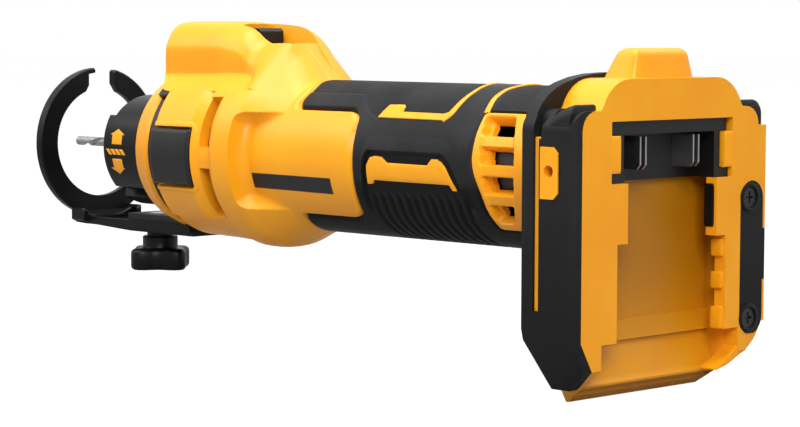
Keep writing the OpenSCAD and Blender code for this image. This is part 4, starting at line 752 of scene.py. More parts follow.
def collar_mesh():
    """Bit collar: three raised panels between smooth channels, lower towards the top.

    The channels' radius is 17.2 + 1.6 cos^2 of the angle.
    """
    rear, front = COLLAR_REAR, COLLAR_FRONT
    x = stations((rear, front, 2.3), rear, 208.5, 208.9, 209.4, 229.6, 230.3, 230.8, 231.1, front)[:, None]
    angle = stations((0, 360, 1.5), 33, 34.4, 317, 315.6)[None, :]
    low = 17.2 + 1.6 * np.cos(np.radians(angle)) ** 2
    off = [np.abs((angle - middle + 180) % 360 - 180) - half for middle, half in COLLAR_PANELS]
    r = low + (COLLAR_R - low) * np.max([ease(0.6, -0.6, gap) for gap in off], 0)
    soft = np.minimum(x - rear, front - x)
    r = r - 1.0 * (1 - np.sqrt(1 - np.clip(1 - soft / 1.1, 0, 1) ** 2))
    rows = np.pad(r, ((1, 1), (0, 0)), constant_values=COLLAR_BORE)
    X = np.pad(x, ((1, 1), (0, 0)), "edge") + 0 * rows
    return sheet_mesh("collar", around(X, angle + 0 * rows, rows), closed=True, crease=30)


def side_sheet(name, X, angle, r, mirror, keep=None, **options):
    """A sheet about the spindle on the left side, or mirrored to the right."""
    points = around(X, 180 - angle if mirror else angle, r)
    if mirror:
        points, keep = points[:, ::-1], None if keep is None else keep[:, ::-1]
    return sheet_mesh(name, points, keep, **options)


def pad_mesh(name, mirror):
    """Release pad: a plain curved face with bevelled edges and straight sides."""
    rear, front, low, high, crown, foot = 174.5, 193.9, -10.4, 8.0, 30.5, 28.0
    x = stations((rear, front, 0.9), rear + 0.3, rear + 0.6, rear + 1.2, front - 0.6, front - 0.3, front)
    z = stations((low, high, 0.8), low + 0.3, low + 0.6, high - 0.6, high - 0.3, high)
    X, Z = np.meshgrid(np.pad(x, 1, "edge"), np.pad(z, 1, "edge"), indexing="ij")
    edge = np.minimum(np.minimum((X - rear) / 1.3, front - X), np.minimum(Z - low, high - Z))
    r = crown - 0.7 * np.clip(1 - edge / 0.8, 0, 1) ** 1.5
    r[[0, -1], :] = r[:, [0, -1]] = foot
    return side_sheet(name, X, np.degrees(np.arcsin(Z / crown)), r, mirror, weld=POLE, crease=34)


# Front edge of the vent frame over the angle, its rear, and the angles of its ends
VENT_EDGE = [(-60, 49.2), (-46, 49.8), (-31.5, 51.3), (-16.9, 52.2), (0, 54.6), (8, 55.2), (60, 55.4)]
VENT_REAR, VENT_LOW, VENT_TOP = 27.0, -46.6, 43.4
# Pitch of the vent's ribs, half height of the openings and where they are centred
VENT_PITCH, VENT_HALF, VENT_MIDDLE = 8.5, 15.2, 0.2


def vent_gap(x, side):
    """Distance outside the vent frame on the unrolled barrel, millimetres."""
    front = x - flow(side, VENT_EDGE)
    ends = np.maximum(side - VENT_TOP, VENT_LOW - side) * DEGREE
    return soft_max(soft_max(front, ends, 1.4), VENT_REAR - x, 0.6)


# Angle of the line under the stippled zone, and of the brim of the badge's recess, along x
STIPPLE_LINE = [(66.8, 34), (96.7, 34), (100.7, 37.4), (106, 46.7), (111.6, 58.6), (140, 59)]
BRIM_REAR, BRIM_FRONT = 56, 101.4
BRIM_LINE = [
    (BRIM_REAR, -34), (57.9, -23), (62.6, -0.7), (65.1, 6.1), (68.2, 9.2), (97.8, 9.2), (99.7, 3.8),
    (100.6, -10), (BRIM_FRONT, -34),
]
GROOVE_PITCH, GROOVE_START, GROOVE_REAR, GROOVE_FRONT = 3.5, 59, 57.4, 99.4


def grip_radius(x, angle, sizes):
    """Radius of the rubber grip, its distances to the body and the vents, and its surface marks.

    The barrel with a rounded edge towards the yellow body and the vents, a step line under the
    stippled top zone, a bevelled recess for the badge and fine finger grooves below.
    """
    gap, side = yellow_gap(x, angle)
    vent = vent_gap(x, side)
    above = (side - flow(x, STIPPLE_LINE)) * DEGREE
    grain = ease(0.3, 1.5, above) * ease(66.4, 67.4, x)
    grain = np.maximum(grain, ease(53.6, 52.6, x) * ease(45.4, 46.4, side))
    step = np.exp(-((above / 0.4) ** 2)) * (x > 96)
    inside = (flow(x, BRIM_LINE) - side) * DEGREE * ((x > BRIM_REAR) & (x < BRIM_FRONT))
    fade = ease(-44, -26, side) * ease(55.6, 58, x) * ease(101.6, 100.2, x)
    brow = ease(-4.8, -4.4, inside) * np.clip(inside + 4.8, 0, 4.6) * 0.09 * ease(0.0, -0.1, inside)
    recess = fade * (0.75 * ease(-0.1, 0.35, inside) - brow)
    half = GROOVE_PITCH / 2
    off = np.abs((x - GROOVE_START + half) % GROOVE_PITCH - half)
    ribs = np.exp(-((off / 0.6) ** 2)) * ease(-19, -27, side) * ((x > GROOVE_REAR) & (x < GROOVE_FRONT))
    r = sizes.barrel / MM - 0.3 * step - recess - sizes.groove / MM * ribs - 0.12 * grain
    r = r - 1.6 * np.clip(1 - gap / 1.1, 0, 1) ** 2 - 1.4 * np.clip(1 - vent / 0.9, 0, 1) ** 2
    r = r - 1.3 * ease(19.7, 18.7, x)
    sunk = fade * ease(0, 0.3, inside)
    shade = np.maximum(sunk, ease(-8, -18, side))
    return r, gap, vent, {"grain": grain, "gloss": sunk, "shade": shade}


def grip_sleeve(sizes):
    """Mesh of the grip from its radius over x and angle, open at the vents and under the panels."""
    x = stations((18.6, 55, 0.6), (55, 101, 0.42), (101, 139.2, 0.6))
    X, A = np.meshgrid(x, np.arange(0, 360, 1.0), indexing="ij")
    r, gap, vent, marks = grip_radius(X, A, sizes)
    out = (gap < -0.9) | (vent < -0.7)
    out = out & np.roll(out, -1, 1)
    keep = ~(out[:-1] & out[1:])
    return sheet_mesh("grip_sleeve", around(X, A, r), keep, closed=True, marks=marks, crease=50)


def vent_frame(name, mirror):
    """Vent frame on one side: a flat rim round a sunk field with three flat ribs and four openings."""
    x = stations((VENT_REAR - 0.4, 56.2, 0.4))
    side = np.arange(VENT_LOW - 1.4, VENT_TOP + 1.41, 0.7)
    X, S = np.meshgrid(x, side, indexing="ij")
    z = UNROLL * np.sin(np.radians(S))
    front, rear = 48.9 + 0.15 * z, 38.6 + 0.017 * z**2
    ends = soft_max(X - front - 2.2, rear - 0.4 - X, 1.0)
    inner = ease(0.2, -0.7, soft_max(ends, np.abs(z - VENT_MIDDLE) - VENT_HALF - 0.2, 1.4))
    off = np.abs((z + 0.13 + VENT_PITCH / 2) % VENT_PITCH - VENT_PITCH / 2)
    rib = ease(2.1, 1.4, off)
    rim = np.clip(1 + vent_gap(X, S) / 0.8, 0, 1) ** 2
    r = 24.35 - inner * (2.6 - 2.1 * rib) - 1.2 * rim
    hole = (off > 1.85) & (X < front) & (X > rear) & (np.abs(z - VENT_MIDDLE) < VENT_HALF)
    r = np.where(hole, r - 1.6, r)
    cut = hole[:-1, :-1] & hole[1:, :-1] & hole[:-1, 1:] & hole[1:, 1:]
    return side_sheet(name, X, S, r, mirror, ~cut, crease=45)


def raised_band(name, x, low, high, radius, height, mirror=False):
    """A thin raised shape on the barrel between two curves of x, angles in degrees, edges rounded."""
    across = np.array([0, 0, 0.02, 0.06, 0.3, 0.5, 0.7, 0.94, 0.98, 1, 1])[None, :]
    lift = np.array([-0.6, 0.2, 0.8, 1, 1, 1, 1, 1, 0.8, 0.2, -0.6])[None, :]
    x, low, high = (np.pad(line, 2, "edge")[:, None] for line in (x, low, high))
    r = radius + lift * height + 0 * x
    r[[0, -1]] = radius - 0.6 * height
    angle = low + (high - low) * across
    return side_sheet(name, x + 0 * angle, angle, r, mirror, weld=0.003, crease=40)


def swept_line(name, x, angle, width, radius, height):
    """A thin raised line on the barrel along a path of x and angle, with a rounded section."""
    dx, da = np.gradient(x), np.gradient(np.radians(angle) * radius)
    size = np.hypot(dx, da)
    nx, na = -da / size, dx / size
    across = np.array([-1, -1, -0.9, -0.6, 0, 0.6, 0.9, 1, 1])[None, :] * width[:, None] / 2
    lift = np.array([-0.8, 0.2, 0.75, 1, 1.05, 1, 0.75, 0.2, -0.8])[None, :] * height
    X = x[:, None] + nx[:, None] * across
    A = angle[:, None] + np.degrees(na[:, None] * across / radius)
    return sheet_mesh(name, around(X, A, radius + lift + 0 * X), crease=50)


def catch_block():
    """Catch block on the dock's arch: a tapered block with well rounded edges."""
    z = stations((26.6, 33.2, 1.1), 33.2, 33.9, 34.5, 34.9, 35.15, 35.25)[:, None]
    rise = (z - 27) / 8
    inset = 2.0 * (1 - np.sqrt(1 - np.clip((z - 33.2) / 2.05, 0, 1) ** 2))
    rear, front = 2.9 + 1.0 * rise + inset, 15.7 - 3.9 * rise - inset
    half = 13.5 - 2.4 * rise - inset
    dx, dy = squircle((front - rear) / 2, half, 72, 0.3)
    return closed_loft("catch_block", joined((rear + front) / 2 + dx, dy, z), 40)


# (x, height) of the rubber cap on a shoulder of the dock and of the seal in front of it, and how far
# out each reaches
CAP_LINE = [
    (1.7, 19.6), (2.0, 20.1), (2.6, 20.3), (4.6, 19.7), (6.8, 18.8), (8.6, 17.8), (9.9, 16.7), (10.9, 15.3),
    (11.4, 13.9), (11.6, 12.7),
]
SEAL_LINE = [(10.4, 18.9), (14.8, 18.9)]
CAP_EDGE, SEAL_EDGE = 41.8, 38.7


def bumper_cap(name, side, line, edge, inner=31.2, foot=10):
    """Rubber on one shoulder of the dock with its top along a line and its outer edge rounded."""
    t = np.radians(np.linspace(90, 0, 9))
    loops = []
    for x, z in line:
        bend = min(3.5, z - 10.5)
        y = np.concatenate([[inner, inner, 34.5], edge - bend + bend * np.cos(t), [edge]])
        h = np.concatenate([[foot, z, z], z - bend + bend * np.sin(t), [foot]])
        loops.append(joined(x, side * y, h)[::-side])
    return closed_loft(name, loops, 40)


# (y, z) of the outer and inner edge of the dock's rounded lower right corner
CORNER_OUTER = [
    (-40.6, -43.2), (-40.1, -45.4), (-38.5, -48.2), (-35.6, -50.8), (-30.6, -53.3), (-25.3, -55.5),
    (-20.4, -56.6),
]
CORNER_INNER = [
    (-36.0, -43.2), (-35.0, -44.8), (-33.0, -46.6), (-31.2, -48.8), (-28.6, -52.0), (-24.6, -54.4),
    (-20.4, -56.2),
]


def dock_corner(rear=0.3, front=6.0):
    """Rounded lower right corner of the dock's rim: a flat section swept along the rim's edge."""
    t = np.linspace(0, len(CORNER_OUTER) - 1, 37)
    edges = (CORNER_OUTER, CORNER_INNER)
    (y, z), (v, w) = ([flow(t, list(enumerate(line))) for line in np.transpose(edge)] for edge in edges)
    loops = [joined(rear, y, z), joined(rear, v, w), joined(front, v, w), joined(front, y, z)]
    return closed_loft("dock_corner", np.stack(loops, 1), 40)


# Open ring of the guide: faces along x, radii, and y where its two arms leave the plain section
RING_REAR, RING_FRONT, RING_INNER, RING_OUTER = 258.2, 260.9, 18.9, 26.1
ARM_NEAR, ARM_FAR = 6.6, 7.3
# (y, inner radius, outer radius) towards the gap: a lip on the near arm, a bevel on the far one
LIP = [(2.4, 24.5, 25.8), (2.7, 24.4, 26.1), (5.2, 24.4, 26.1), (5.2, 20.6, 26.1), (ARM_NEAR, 18.9, 26.1)]
BEVEL = [(ARM_FAR, 18.9, 26.1), (6.5, 19.8, 26.0), (5.8, 20.6, 25.2)]


def guide_ring():
    """Open ring of the depth guide: a flat section swept about the spindle from arm to arm.

    Rows near the gap lie in planes of equal y.
    """
    x = np.array([RING_REAR, RING_REAR, RING_REAR + 0.5, RING_FRONT, RING_FRONT, RING_FRONT - 0.6])

    def row(low, high):
        return np.array([low, high - 0.5, high, high, low + 0.6, low])

    def lean(y, r):
        return np.degrees(np.arccos(y / r))

    loops = [around(x, lean(y, row(low, high)), row(low, high)) for y, low, high in LIP]
    r = row(RING_INNER, RING_OUTER)
    start, end = lean(ARM_NEAR, r), -180 - lean(ARM_FAR, r)
    loops += [around(x, start + (end - start) * share, r) for share in np.linspace(0, 1, 140)[1:-1]]
    loops += [around(x, -180 - lean(y, row(low, high)), row(low, high)) for y, low, high in BEVEL]
    return closed_loft("guide_ring", loops, 30)


# (x, inset, half height) along the block under the ring
FOOT_LINE = [
    (252.6, 0, 1.1), (256.3, 0, 1.1), (256.6, 0, 1.9), (260.9, 0, 1.9), (261.3, 0.2, 1.9), (261.5, 0.6, 1.9),
]


def guide_foot(half=10.2, low=-27.7):
    """Front end of the guide's bar, a block that carries the ring."""
    x, trim, rise = np.transpose(FOOT_LINE)[:, :, None]
    y, z = squircle(half - trim, rise - trim, 40, 0.2)
    return closed_loft("guide_foot", joined(x, y, z + low + rise), 30)


def guide_cradle():
    """Rib behind the foot of the ring: its top is an arc about the spindle, its ends are deeper blocks."""
    front, low, reach, radius, soft = 258.4, -26.9, 13.0, 25.75, 0.45
    rib_rear, end_rear, end = 255.2, 251.8, 10.8
    half = np.array([*np.linspace(0, end, 18), end + 0.05, reach - soft, reach])
    loops = []
    for y in np.concatenate([-half[:0:-1], half]):
        trim = soft * (abs(y) == reach)
        rear = end_rear if abs(y) > end else rib_rear
        top = -math.sqrt(radius**2 - y**2) - trim
        x = np.array([rear + trim, rear + soft, front, front, rear + trim])
        z = np.array([top - soft, top, top, low + trim, low + trim])
        loops.append(joined(x, y, z))
    return closed_loft("guide_cradle", loops, 30)


# Knob: place, radii of the head, (inset, z) up the head and (radius, z) up the neck and washer
KNOB_X, KNOB_VALLEY, KNOB_REACH, KNOB_LOBES = 225.6, 8.3, 12.0, 4
KNOB_HEAD = [
    (1.6, -42.4), (0.9, -42.25), (0.35, -41.8), (0, -41.1), (0, -36.4), (0.3, -35.8), (0.9, -35.3),
    (1.8, -35.05),
]
KNOB_NECK = [
    (6.2, -34.9), (6.0, -34.4), (6.0, -31.4), (5.7, -31.1), (4.5, -31.05), (4.5, -29.34), (0, -29.34),
]


def clamp_knob():
    """Clamp knob: a washer and a round neck above a head of rounded lobes."""
    turn = np.radians(np.arange(0, 360, 2.5))
    lobe = KNOB_VALLEY + (KNOB_REACH - KNOB_VALLEY) * (0.5 + 0.5 * np.cos(KNOB_LOBES * turn)) ** 1.3
    foot = KNOB_HEAD[0][1]
    rows = [(0, foot), (0.5 * lobe, foot), *((lobe - inset, z) for inset, z in KNOB_HEAD), *KNOB_NECK]
    points = [joined(KNOB_X + r * np.cos(turn), r * np.sin(turn), z) for r, z in rows]
    return sheet_mesh("clamp_knob", np.array(points), closed=True, weld=POLE, crease=34)


# (x, z) outline of a contact blade, and the places and half thickness of the four
BLADE = np.array([(1.4, 11), (1.4, 3.2), (2.6, 1.9), (15.2, 1.9), (15.2, 11)])
BLADE_Y, BLADE_HALF = (12.7, 10.4, -10.4, -12.7), 0.3


def contact_blades():
    """Four upright contact blades with bevelled lower corners: one grid, its rows unlinked between them."""
    rows = []
    for y in BLADE_Y:
        faces = [joined(BLADE[:, 0], y + t, BLADE[:, 1]) for t in (-BLADE_HALF, BLADE_HALF)]
        ends = [np.broadcast_to(face.mean(0), face.shape) for face in faces]
        rows += [ends[0], *faces, ends[1]]
    keep = np.ones((len(rows) - 1, len(BLADE)), bool)
    keep[3::4] = False
    return sheet_mesh("contact_blades", np.array(rows)[:, ::-1], keep, closed=True, weld=POLE)


# (x, z) down the foot of the battery cavity, and its half width
RAMP_LINE = np.array([
    (11.1, -40.2), (10.1, -40.6), (10.0, -41.2), (10.0, -45.4), (9.8, -46.0), (10.9, -46.3), (10.9, -47.4),
    (10.3, -48.2), (8.9, -55.6), (8.3, -56.6), (7.9, -57.3), (8.0, -57.9), (8.6, -58.3), (11.1, -58.3),
])
RAMP_HALF = 29.3


def cavity_ramp():
    """Foot of the battery cavity: a ledge, a shallow ramp and a rolled lower lip across the floor."""
    x, z = RAMP_LINE.T[:, :, None]
    return sheet_mesh("cavity_ramp", joined(x, np.linspace(RAMP_HALF, -RAMP_HALF, 40), z), crease=30)


def slab(x0, z0, x1, z1):
    """(x, z) outline of an upright rectangle to carve with."""
    return [(x0, z0), (x1, z0), (x1, z1), (x0, z1)]


# Edge rounding in metres of the casing screws, the contact block and the strip screws
SCREW_ROUND, BLOCK_ROUND, STRIP_ROUND = 0.00015, 0.0004, 0.0002
# Carvings as (x, z) outline, y from and y to: the screw heads that the drawn shell covers, the CAD
# catch block, the bumpers' shoulder and right foot, the guide's ring and the underside of its bar
SCREW_CUTS = [(slab(139, 19, 149, 29), 9.0, 20.0), (slab(147, -30, 157, -20), 8.0, 20.0)]
CATCH_CUT = (slab(1, 27.03, 19, 37), -0.5, 15.0)
SHOULDER_CUT = ([
    (14.5, 11), (11.6, 11), (11.6, 12.6), (11.3, 14.8), (9.9, 16.8), (6.8, 18.7), (2.3, 20.2), (-2, 20.8),
    (-2, 26), (14.5, 26),
], 31.0, 44.0)
FOOT_CUT = (slab(-3, -47.2, 24, -66), 30.0, 48.0)
RING_CUT = ([(248, -25.45), (248, 30), (266, 30), (266, -25.45)], -0.5, 32.0)
UNDER_CUT = ([(231, -29.32), (266, -27.5), (266, -33), (231, -33)], -0.5, 32.0)
SIDES = ("left", "right")


class ShellOperator(bpy.types.Operator):
    """Yellow front body with the hump, pocket, casing plates and slots"""

    bl_idname = "cutout.front_body"
    bl_label = "Front body"

    def execute(self, context):
        sizes = context.scene.cutout_sizes
        place(front_body(sizes), "yellow", "housing_left", "housing_right")
        place(hump_nose(sizes), "yellow")
        softened("casing_screws", "housing_screws", SCREW_ROUND, "dark steel", carve=SCREW_CUTS)
        return {"FINISHED"}


# Raised bands on each side: stations along x, (x, angle) of the lower and of the upper edge
BADGE = (
    stations((62.0, 99.0, 0.5), 66, 67.4, 69.5, 71.6, 73.3, 90, 92.5, 95.7, 97.4, 98.8),
    [(62, -16.4), (63.6, -16.4), (64.4, -12.4), (96.1, -12.2), (96.6, -15.3), (99, -15.5)],
    [
        (62, -15.4), (65.8, 0.5), (67.4, 3.9), (69.4, 6.0), (71.6, 5.8), (73.3, 1.2), (90, 1.4), (92.5, 5.5),
        (95.6, 5.9), (97.4, 4.8), (98.6, 0.4), (99, -1.5),
    ],
)
INLAY = (
    stations((69.4, 97.3, 0.6), 88.3, 88.6, 90.2, 95.4, 97.3),
    [(69.4, 35.2), (70.3, 34.2), (97.3, 34.5)],
    [(69.4, 41.5), (71.1, 39.8), (88.3, 40.2), (88.7, 46.6), (90.2, 46.8), (95.4, 46.4), (97.3, 35.0)],
)
PLATE = (
    stations((114.9, 150.9, 1.2), 150.9), [(114.9, -25.1), (150.9, -24.2)], [(114.9, -12.6), (150.9, -12.3)],
)
# Lines over the top: count of rows, (angle, x) up to the crown, and width at WIDTH_ANGLES off it
WIDTH_ANGLES = [0, 25, 45, 55]
ARCH_LINE = (
    60, [(35, 70.6), (40, 68.6), (46, 67.9), (55, 67.4), (66, 66.9), (80, 67.2), (90, 67.4)],
    [1.1, 1.3, 2.0, 2.4],
)
REAR_LINE = (
    50, [(42, 54.6), (50, 55.3), (58, 55.9), (69, 55.7), (80, 53.8), (90, 52.9)], [1.1, 1.6, 1.9, 1.6],
)


class GripOperator(bpy.types.Operator):
    """Rubber grip, vent frames, yellow inlays and blank badges"""

    bl_idname = "cutout.grip"
    bl_label = "Grip"

    def execute(self, context):
        sizes = context.scene.cutout_sizes
        barrel, rise = sizes.barrel / MM, sizes.inlay / MM
        place(grip_sleeve(sizes), "grip", "grip_left", "grip_right")
        for side in SIDES:
            place(vent_frame(f"vent_frame_{side}", side == "right"), "yellow")
        # Name, finish, outline, depth of the foot under the barrel, height
        for name, kind, (x, low, high), sunk, height in (
            ("badge", "yellow", BADGE, 0.95, 0.55),
            ("inlay", "yellow", INLAY, 0.1, rise + 0.1),
            ("blank_plate", "plastic", PLATE, 0, 0.12),
        ):
            low, high = (np.interp(x, *np.transpose(knots)) for knots in (low, high))
            for side in SIDES:
                band = raised_band(f"{name}_{side}", x, low, high, barrel - sunk, height, side == "right")
                place(band, kind)
        for name, (count, knots, widths) in (("inlay_arch", ARCH_LINE), ("inlay_rear", REAR_LINE)):
            half = np.linspace(knots[0][0], 90, count)
            path = flow(half, knots)
            angle = np.concatenate([half, 180 - half[-2::-1]])
            path = np.concatenate([path, path[-2::-1]])
            width = np.interp(np.abs(angle - 90), WIDTH_ANGLES, widths)
            place(swept_line(name, path, angle, width, barrel, rise), "yellow")
        return {"FINISHED"}


# Dock: x in metres where its shell ends, rim of a strip screw as (x, radius), places of the screws
# and z spans of the rail's ribs. Then corners of the latch, and y spans of the cheeks
DOCK_FRONT = 0.0196
SCREW_RIM = [(0.1, 4.3), (-0.35, 4.2), (-0.5, 3.9), (-0.5, 3.3), (-0.35, 3.0), (0.2, 2.9)]
SCREW_Y, SCREW_Z = -34.6, (-7.8, -42.7)
RAIL_RIBS = ((-24.2, -19.2), (-33.4, -28.6), (-45.0, -38.6))
LATCH = (0.9, -20.2, -15.6), (4.4, -18.9, -3.2)
CHEEKS = ((22.5, 28.0), (-28.0, -23.0))


class DockOperator(bpy.types.Operator):
    """Battery dock shell, rubber bumpers and contact block, edges rounded"""

    bl_idname = "cutout.dock"
    bl_label = "Battery dock"

    def execute(self, context):
        sizes = context.scene.cutout_sizes
        place(dock_corner(), "yellow")
        for side, cuts in (("left", [SHOULDER_CUT]), ("right", [SHOULDER_CUT, FOOT_CUT])):
            softened(
                f"dock_shell_{side}", f"housing_{side}", sizes.dock_round, "yellow", cut_x=DOCK_FRONT,
                carve=[CATCH_CUT],
            )
            softened(
                f"bumper_{side}", f"dock_bumper_{side}", sizes.rubber_round, "rubber", steps=3, carve=cuts
            )
        softened("contact_block", "terminal_block", BLOCK_ROUND, "plastic")
        place(contact_blades(), "blade", "terminal_blades")
        softened("strip_screws", "dock_screws", STRIP_ROUND, "tray")
        place(catch_block(), "yellow")
        for label, side in zip(SIDES, (1, -1)):
            place(bumper_cap(f"bumper_cap_{label}", side, CAP_LINE, CAP_EDGE), "rubber")
            place(bumper_cap(f"bumper_seal_{label}", side, SEAL_LINE, SEAL_EDGE), "rubber")
        place(cavity_ramp(), "yellow")
        for label, (low, high) in zip(SIDES, CHEEKS):
            place(side_block(f"dock_cheek_{label}", (0.06, low, 1.3), (2.6, high, 11.6), 0.05), "yellow")
        for i, z in enumerate(SCREW_Z, 1):
            place(lathe(f"screw_rim_{i}", SCREW_RIM, SCREW_Y, z), "collar")
        place(side_block("rail_latch", *LATCH, 0.5), "collar")
        for i, (low, high) in enumerate(RAIL_RIBS, 1):
            place(side_block(f"rail_rib_{i}", (0.7, -24.4, low), (4.5, -22.6, high)), "yellow")
        return {"FINISHED"}


# Arrows on the collar: stations along x, angles of the head's corners and tip, and angles of the
# shaft's end and the head's base. Then the hatched bar: strokes along x, their lean and end angles
ARROWS = (
    ([219.8, 220.88, 220.9, 223.5, 226.0, 226.02, 227.1], (12, 17.5, 12), (2.7, 11.9)),
    ([220.6, 221.18, 221.2, 224.2, 226.2, 226.22, 227.8], (-20.2, -26.4, -20.2), (-11.1, -20.1)),
)
HATCH = ((219.0, 220.6), (221.3, 223.0), (223.7, 225.4), (226.1, 227.6))
HATCH_LEAN, HATCH_LOW, HATCH_TOP, MARK_R = 1.6, (-7.2, -1.9), (-7.1, -1.8), 20.38


class NoseOperator(bpy.types.Operator):
    """Nose frame, ring, collar, release pads and slide switch, edges rounded"""

    bl_idname = "cutout.nose"
    bl_label = "Nose and switch"

    def execute(self, context):
        edge = context.scene.cutout_sizes.nose_round
        softened("nose_band", "nose_frame", edge * 0.6, "plastic")
        softened("yellow_ring", "nose_ring", edge * 0.8, "yellow")
        place(collar_mesh(), "collar", "bit_collar", body="collar", slot="collar_plastic")
        for i, (x, low, high) in enumerate(self.marks(), 1):
            mark = raised_band(f"collar_mark_{i}", x, low, high, MARK_R, 0.12)
            place(mark, "yellow", body="collar", slot="collar_plastic")
        softened("slide_button", "switch_slider", edge * 2, "plastic", body="slider", steps=4)
        for side in SIDES:
            pad = pad_mesh(f"pad_{side}", side == "right")
            place(pad, "plastic", f"release_pad_{side}", body=f"pad_{side}")
        return {"FINISHED"}

    def marks(self):
        """Turning arrows and a hatched bar on the collar's near panel: x, lower and upper angle."""
        for x, tip, (shaft, head) in ARROWS:
            x = np.array(x)
            far = np.interp(x, x[[0, 3, 6]], tip)
            near = np.where((x > x[1]) & (x < x[5]), shaft, head)
            yield (x, near, far) if tip[1] > 0 else (x, far, near)
        for start, end in HATCH:
            ends = [start, start + HATCH_LEAN], [end, end + HATCH_LEAN]
            x = np.sort(np.concatenate(ends))
            yield x, np.interp(x, ends[1], HATCH_LOW), np.interp(x, ends[0], HATCH_TOP)


class GuideOperator(bpy.types.Operator):
    """Depth guide and its clamp knob, edges rounded"""

    bl_idname = "cutout.guide"
    bl_label = "Depth guide"

    def execute(self, context):
        edge = context.scene.cutout_sizes.nose_round
        softened(
            "guide_bar", "depth_guide", edge, "collar", body="guide", steps=3, carve=[RING_CUT, UNDER_CUT]
        )
        for piece in (guide_ring(), guide_foot(), guide_cradle()):
            place(piece, "collar", body="guide")
        place(clamp_knob(), "collar", "guide_knob", body="knob")
        return {"FINISHED"}


# Finish of the nodes that keep their CAD meshes
INNER_FINISH = {
    "tray": ("control_tray",),
    "board": ("control_board", "light_board"),
    "lead": ("power_leads", "motor_leads"),
    "plastic": ("switch_body", "rear_plate", "air_baffle", "fan"),
    "lens": ("light_lens",),
    "lamination": ("stator_core", "rotor_core"),
    "copper": ("stator_coils",),
    "steel": (
        "front_bearing_outer", "rear_bearing_outer", "front_bearing_balls", "rear_bearing_balls",
        "front_bearing_inner", "rear_bearing_inner", "spindle_shaft", "collet", "guide_stud",
    ),
    "brass": ("guide_insert",),
    "magnet": ("rotor_magnets",),
    "dark steel": ("collet_nut",),
    "bit": ("cutting_bit",),
}


class InnerOperator(bpy.types.Operator):
    """Finishes of the motor, spindle, bit, electronics and screws, which keep their CAD meshes"""

    bl_idname = "cutout.inner"
    bl_label = "Motor, bit and screws"

    def execute(self, context):
        for kind, nodes in INNER_FINISH.items():
            for node in nodes:
                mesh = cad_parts[node].data
                mesh.materials.clear()
                mesh.materials.append(finish(kind))
                shaded(mesh, 32)
        return {"FINISHED"}


# Camera fitted to the photograph: place in millimetres, yaw, pitch and roll in degrees, focal length
# and picture width in pixels
CAMERA, CAMERA_TURN = (-432.47, 533.24, 41.75), (-44.602, -4.412, 0.168)
FOCAL, PICTURE_WIDTH, SENSOR = 2460.16, 800, 36
FLOOR_Z, FLOOR_HALF = -63.0, 6000
# Area lamps: name, place, aim, size in metres and power in watts
LAMPS = (
    ("Top lamp", (0.15, 0.2, 1.2), (0.13, 0, 0), 1.1, 28.0),
    ("Nose lamp", (0.8, 0.6, 0.62), (0.13, 0, 0), 0.5, 3.2),
    ("Back lamp", (-0.2, -0.9, 0.9), (0.13, 0, 0), 0.9, 5.0),
    ("Fill lamp", (-0.85, 0.8, 0.7), (0.1, 0, 0), 0.6, 14.0),
)
# Strength of the surround as light, and as the background that is seen
SURROUND, BACKGROUND = 0.12, 1.0


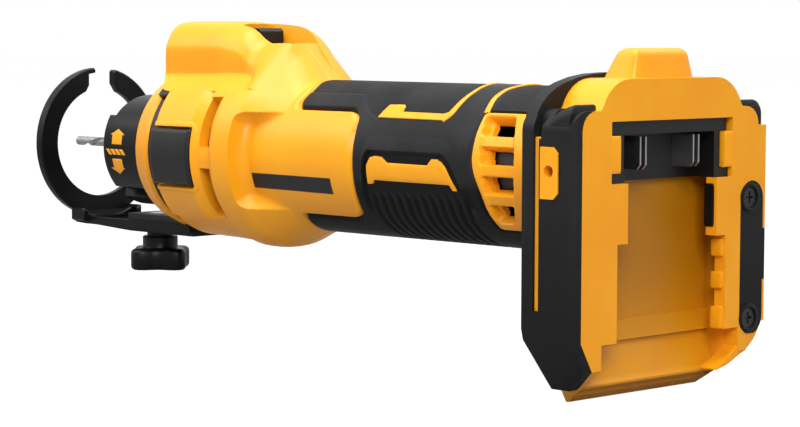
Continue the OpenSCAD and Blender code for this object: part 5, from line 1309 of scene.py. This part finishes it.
class StageOperator(bpy.types.Operator):
    """Camera, floor, lamps and white surround"""

    bl_idname = "cutout.stage"
    bl_label = "Stage"

    def execute(self, context):
        context.scene.view_settings.view_transform = "Standard"
        self.camera(context.scene)
        line = np.linspace(-FLOOR_HALF, FLOOR_HALF, 25)
        floor = sheet_mesh("studio_floor", joined(line[:, None], line[None, ::-1], FLOOR_Z))
        floor.materials.append(floor_finish(context.scene.cutout_colours))
        self.add(context.scene, "studio_floor", floor)
        for name, spot, aim, size, power in LAMPS:
            lamp = bpy.data.lights.new(name, "AREA")
            lamp.energy, lamp.size = power, size
            holder = self.add(context.scene, name, lamp)
            holder.location = spot
            holder.rotation_euler = (Vector(aim) - Vector(spot)).to_track_quat("-Z", "Y").to_euler()
        context.scene.world = self.surround()
        return {"FINISHED"}

    def add(self, scene, name, data):
        """Links one object to the scene."""
        made = bpy.data.objects.new(name, data)
        scene.collection.objects.link(made)
        return made

    def camera(self, scene):
        """The photograph's camera."""
        yaw, pitch, roll = (polar(turn) for turn in CAMERA_TURN)
        ahead = Vector((pitch[0] * yaw[0], pitch[0] * yaw[1], pitch[1]))
        level = ahead.cross(Vector((0, 0, 1))).normalized()
        above = level.cross(ahead)
        right, up = level * roll[0] + above * roll[1], above * roll[0] - level * roll[1]
        data = bpy.data.cameras.new("Photo camera")
        scene.camera = self.add(scene, "Photo camera", data)
        turn = Matrix((right, up, -ahead)).transposed().to_4x4()
        scene.camera.matrix_world = Matrix.Translation(Vector(CAMERA) * MM) @ turn
        data.sensor_width, data.lens = SENSOR, FOCAL * SENSOR / PICTURE_WIDTH
        data.clip_start, data.clip_end = 0.01, 50

    def surround(self):
        """White where the camera, metal or glass sees it, and a dim light elsewhere."""
        world = bpy.data.worlds.new("Studio")
        world.use_nodes = True
        world.node_tree.nodes.clear()
        nodes = Nodes(world.node_tree)
        camera, through, gloss = (
            nodes.node("ShaderNodeLightPath", output=ray)
            for ray in ("Is Camera Ray", "Is Transmission Ray", "Is Glossy Ray")
        )
        shown = camera.math("MAXIMUM", camera.math("MAXIMUM", camera, through), gloss)
        dim, white = (
            nodes.node("ShaderNodeBackground", {"Color": (1, 1, 1, 1), "Strength": level})
            for level in (SURROUND, BACKGROUND)
        )
        blend = nodes.node("ShaderNodeMixShader", [shown, dim, white])
        out = world.node_tree.nodes.new("ShaderNodeOutputWorld")
        world.node_tree.links.new(blend.socket, out.inputs["Surface"])
        return world


class ToolPanel(bpy.types.Panel):
    """Sizes, colours and build steps"""

    bl_idname = "VIEW3D_PT_cutout_tool"
    bl_label = "Cut-out tool"
    bl_space_type = "VIEW_3D"
    bl_region_type = "UI"
    bl_category = "Cut-out tool"

    def draw(self, context):
        for group in (context.scene.cutout_sizes, context.scene.cutout_colours):
            column = self.layout.column()
            for label in group.bl_rna.properties.keys()[2:]:
                column.prop(group, label)
        for step in STEPS:
            self.layout.operator(step.bl_idname)


STEPS = (
    ShellOperator, GripOperator, DockOperator, NoseOperator, GuideOperator, InnerOperator, StageOperator,
)
CLASSES = (ToolSizes, ToolColours, *STEPS, ToolPanel)


def register():
    for kind in CLASSES:
        bpy.utils.register_class(kind)
    bpy.types.Scene.cutout_sizes = PointerProperty(type=ToolSizes)
    bpy.types.Scene.cutout_colours = PointerProperty(type=ToolColours)


def unregister():
    del bpy.types.Scene.cutout_colours
    del bpy.types.Scene.cutout_sizes
    for kind in reversed(CLASSES):
        bpy.utils.unregister_class(kind)


def main():
    register()
    bpy.ops.cutout.front_body()
    bpy.ops.cutout.grip()
    bpy.ops.cutout.dock()
    bpy.ops.cutout.nose()
    bpy.ops.cutout.guide()
    bpy.ops.cutout.inner()
    bpy.ops.cutout.stage()


if __name__ == "__main__":
    main()
